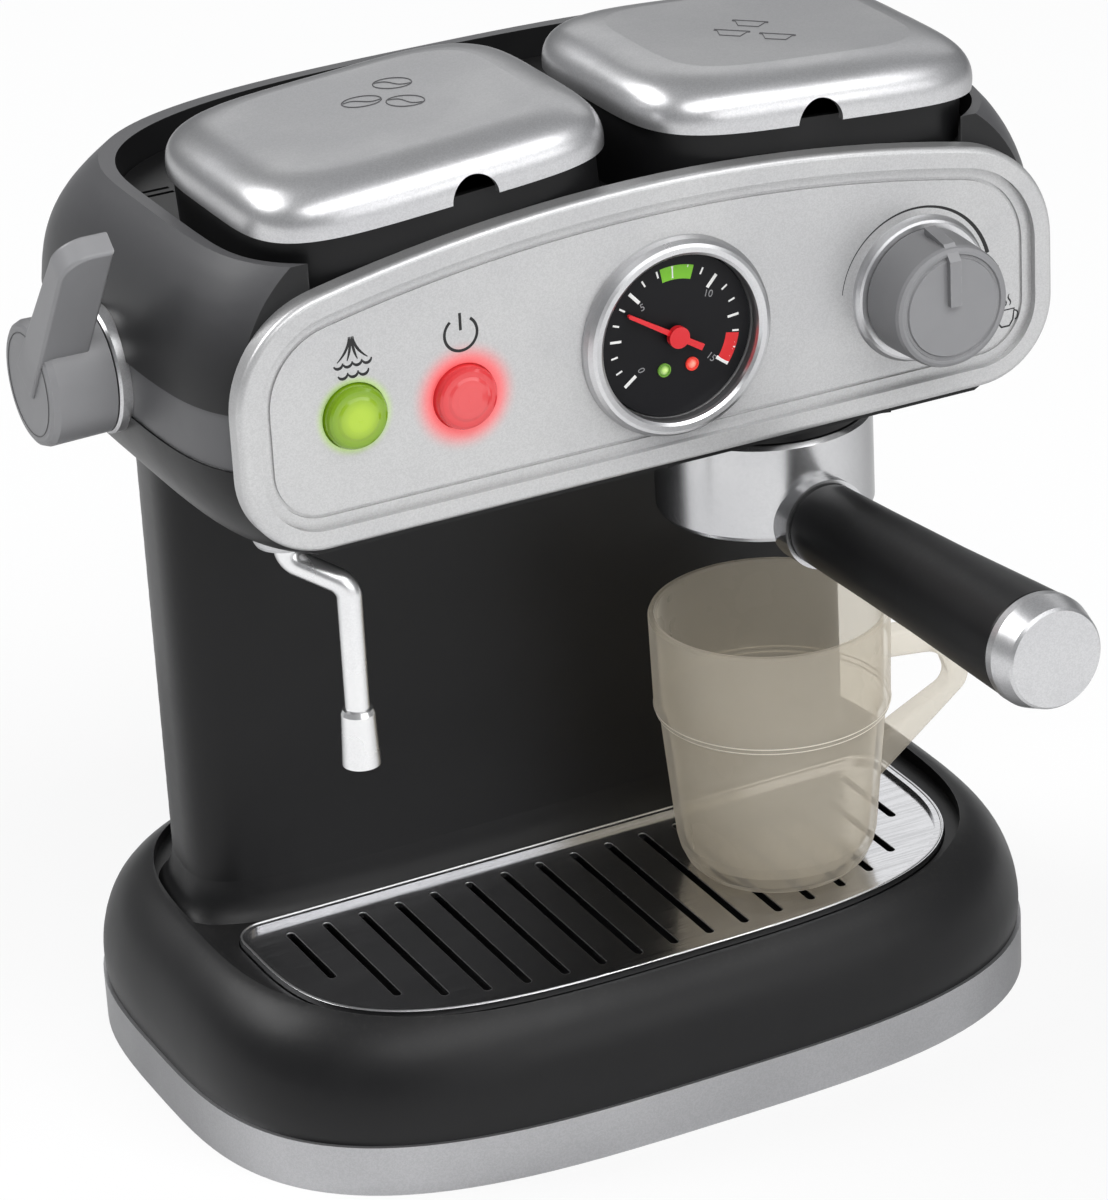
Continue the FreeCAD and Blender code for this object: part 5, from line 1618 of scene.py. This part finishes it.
@dataclass
class Studio:
    """The floor, the lamps, the white surroundings and the camera."""

    focal_px: float = 4904.9
    tall_px: float = 1200.0
    azimuth: float = -25.664
    elevation: float = 24.806
    roll: float = -3.197
    camera_mm: Place = (-479.32, -1003.83, 621.34)
    far: float = 50.0
    aim: Place = (0.0, 0.0, 0.12)
    world_light: float = 0.24
    floor_side: float = 14.0
    floor_glow: float = 0.82
    boxes: tuple[SoftBox, ...] = (
        SoftBox("key_box", (0.2, -1.5, 2.1), (3.0, 1.2), 50.0),
        SoftBox("front_box", (1.0, -2.5, 0.95), (2.6, 0.9), 17.0),
        SoftBox("left_box", (-1.5, 1.2, 2.0), (1.6, 1.2), 44.0),
        SoftBox("back_box", (1.4, 2.1, 1.5), (2.4, 1.2), 8.0),
    )

    def camera(self) -> None:
        """Set the camera where the photograph was taken from."""
        data = bpy.data.cameras.new("photo_camera")
        data.lens = self.focal_px / self.tall_px * data.sensor_width
        data.clip_end = self.far
        holder = bpy.data.objects.new("photo_camera", data)
        bpy.context.scene.collection.objects.link(holder)
        a, e, r = (math.radians(v) for v in (self.azimuth, self.elevation, self.roll))
        right = Vector((math.cos(a), math.sin(a), 0.0))
        back = Vector((math.sin(a) * math.cos(e), -math.cos(a) * math.cos(e), math.sin(e)))
        up = back.cross(right)
        across = right * math.cos(r) + up * math.sin(r)
        upward = up * math.cos(r) - right * math.sin(r)
        turn = Matrix((across, upward, back)).transposed().to_4x4()
        place = Matrix.Translation(Vector(self.camera_mm) * MM)
        holder.matrix_world = place @ turn
        bpy.context.scene.camera = holder

    def lamp(self, box: SoftBox) -> None:
        """Hang a soft box that faces the machine.

        Args:
            box: The lamp.
        """
        data = bpy.data.lights.new(box.name, "AREA")
        data.shape = "RECTANGLE"
        data.size, data.size_y = box.size
        data.energy = box.power
        holder = bpy.data.objects.new(box.name, data)
        bpy.context.scene.collection.objects.link(holder)
        place = Vector(box.place)
        holder.location = place
        holder.rotation_euler = (Vector(self.aim) - place).to_track_quat("-Z", "Y").to_euler()

    def surroundings(self) -> None:
        """Fill the world with soft white."""
        world = bpy.data.worlds.new("studio_white")
        bpy.context.scene.world = world
        world.use_nodes = True
        links = Links(world.node_tree)
        world.node_tree.nodes.clear()
        out = links.add("ShaderNodeOutputWorld")
        seen = links.add("ShaderNodeBackground")
        seen.inputs["Color"].default_value = (1.0, 1.0, 1.0, 1.0)
        lit = links.add("ShaderNodeBackground")
        lit.inputs["Color"].default_value = (0.92, 0.94, 0.97, 1.0)
        lit.inputs["Strength"].default_value = self.world_light
        rays = links.add("ShaderNodeLightPath")
        mixed = links.mix_shaders(rays.outputs["Is Camera Ray"], lit.outputs[0], seen.outputs[0])
        links.join(mixed, out.inputs["Surface"])

    def floor(self) -> None:
        """Lay the pale floor."""
        clear_selection()
        bpy.ops.mesh.primitive_plane_add(size=self.floor_side)
        ground = bpy.context.object
        ground.name = "studio_floor"
        sheet = open_material("floor_white")
        links = sheet.links
        sheet.shader.inputs["Base Color"].default_value = (0.86, 0.86, 0.86, 1.0)
        sheet.shader.inputs["Roughness"].default_value = 0.9
        sheet.shader.inputs["Specular IOR Level"].default_value = 0.1
        light = links.add("ShaderNodeEmission")
        light.inputs["Color"].default_value = (1.0, 1.0, 1.0, 1.0)
        rays = links.add("ShaderNodeLightPath")
        share = links.maths("MULTIPLY", rays.outputs["Is Camera Ray"], self.floor_glow)
        mixed = links.mix_shaders(share, sheet.shader.outputs[0], light.outputs[0])
        links.join(mixed, sheet.out.inputs["Surface"])
        ground.data.materials.append(sheet.material)

    def build(self) -> None:
        """Build the studio."""
        bpy.context.scene.view_settings.view_transform = "Standard"
        self.camera()
        self.surroundings()
        self.floor()
        for box in self.boxes:
            self.lamp(box)
        LOG.info("studio: floor, %d soft boxes and the camera", len(self.boxes))


def main() -> None:
    """Build the studio, dress the frame and add the fine pieces."""
    logging.basicConfig(level=logging.INFO, format="%(name)s: %(message)s")
    Studio().build()
    finishes = Finishes()
    finishes.dress_frame(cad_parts)
    LOG.info("frame: %d nodes dressed", len(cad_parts))
    Gauge(finishes).build()
    PanelPrints(finishes).build()
    LidMarks(finishes).build(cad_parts)
    GrilleBeads(finishes).build()
    Rings(finishes).build(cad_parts)


if __name__ == "__main__":
    main()
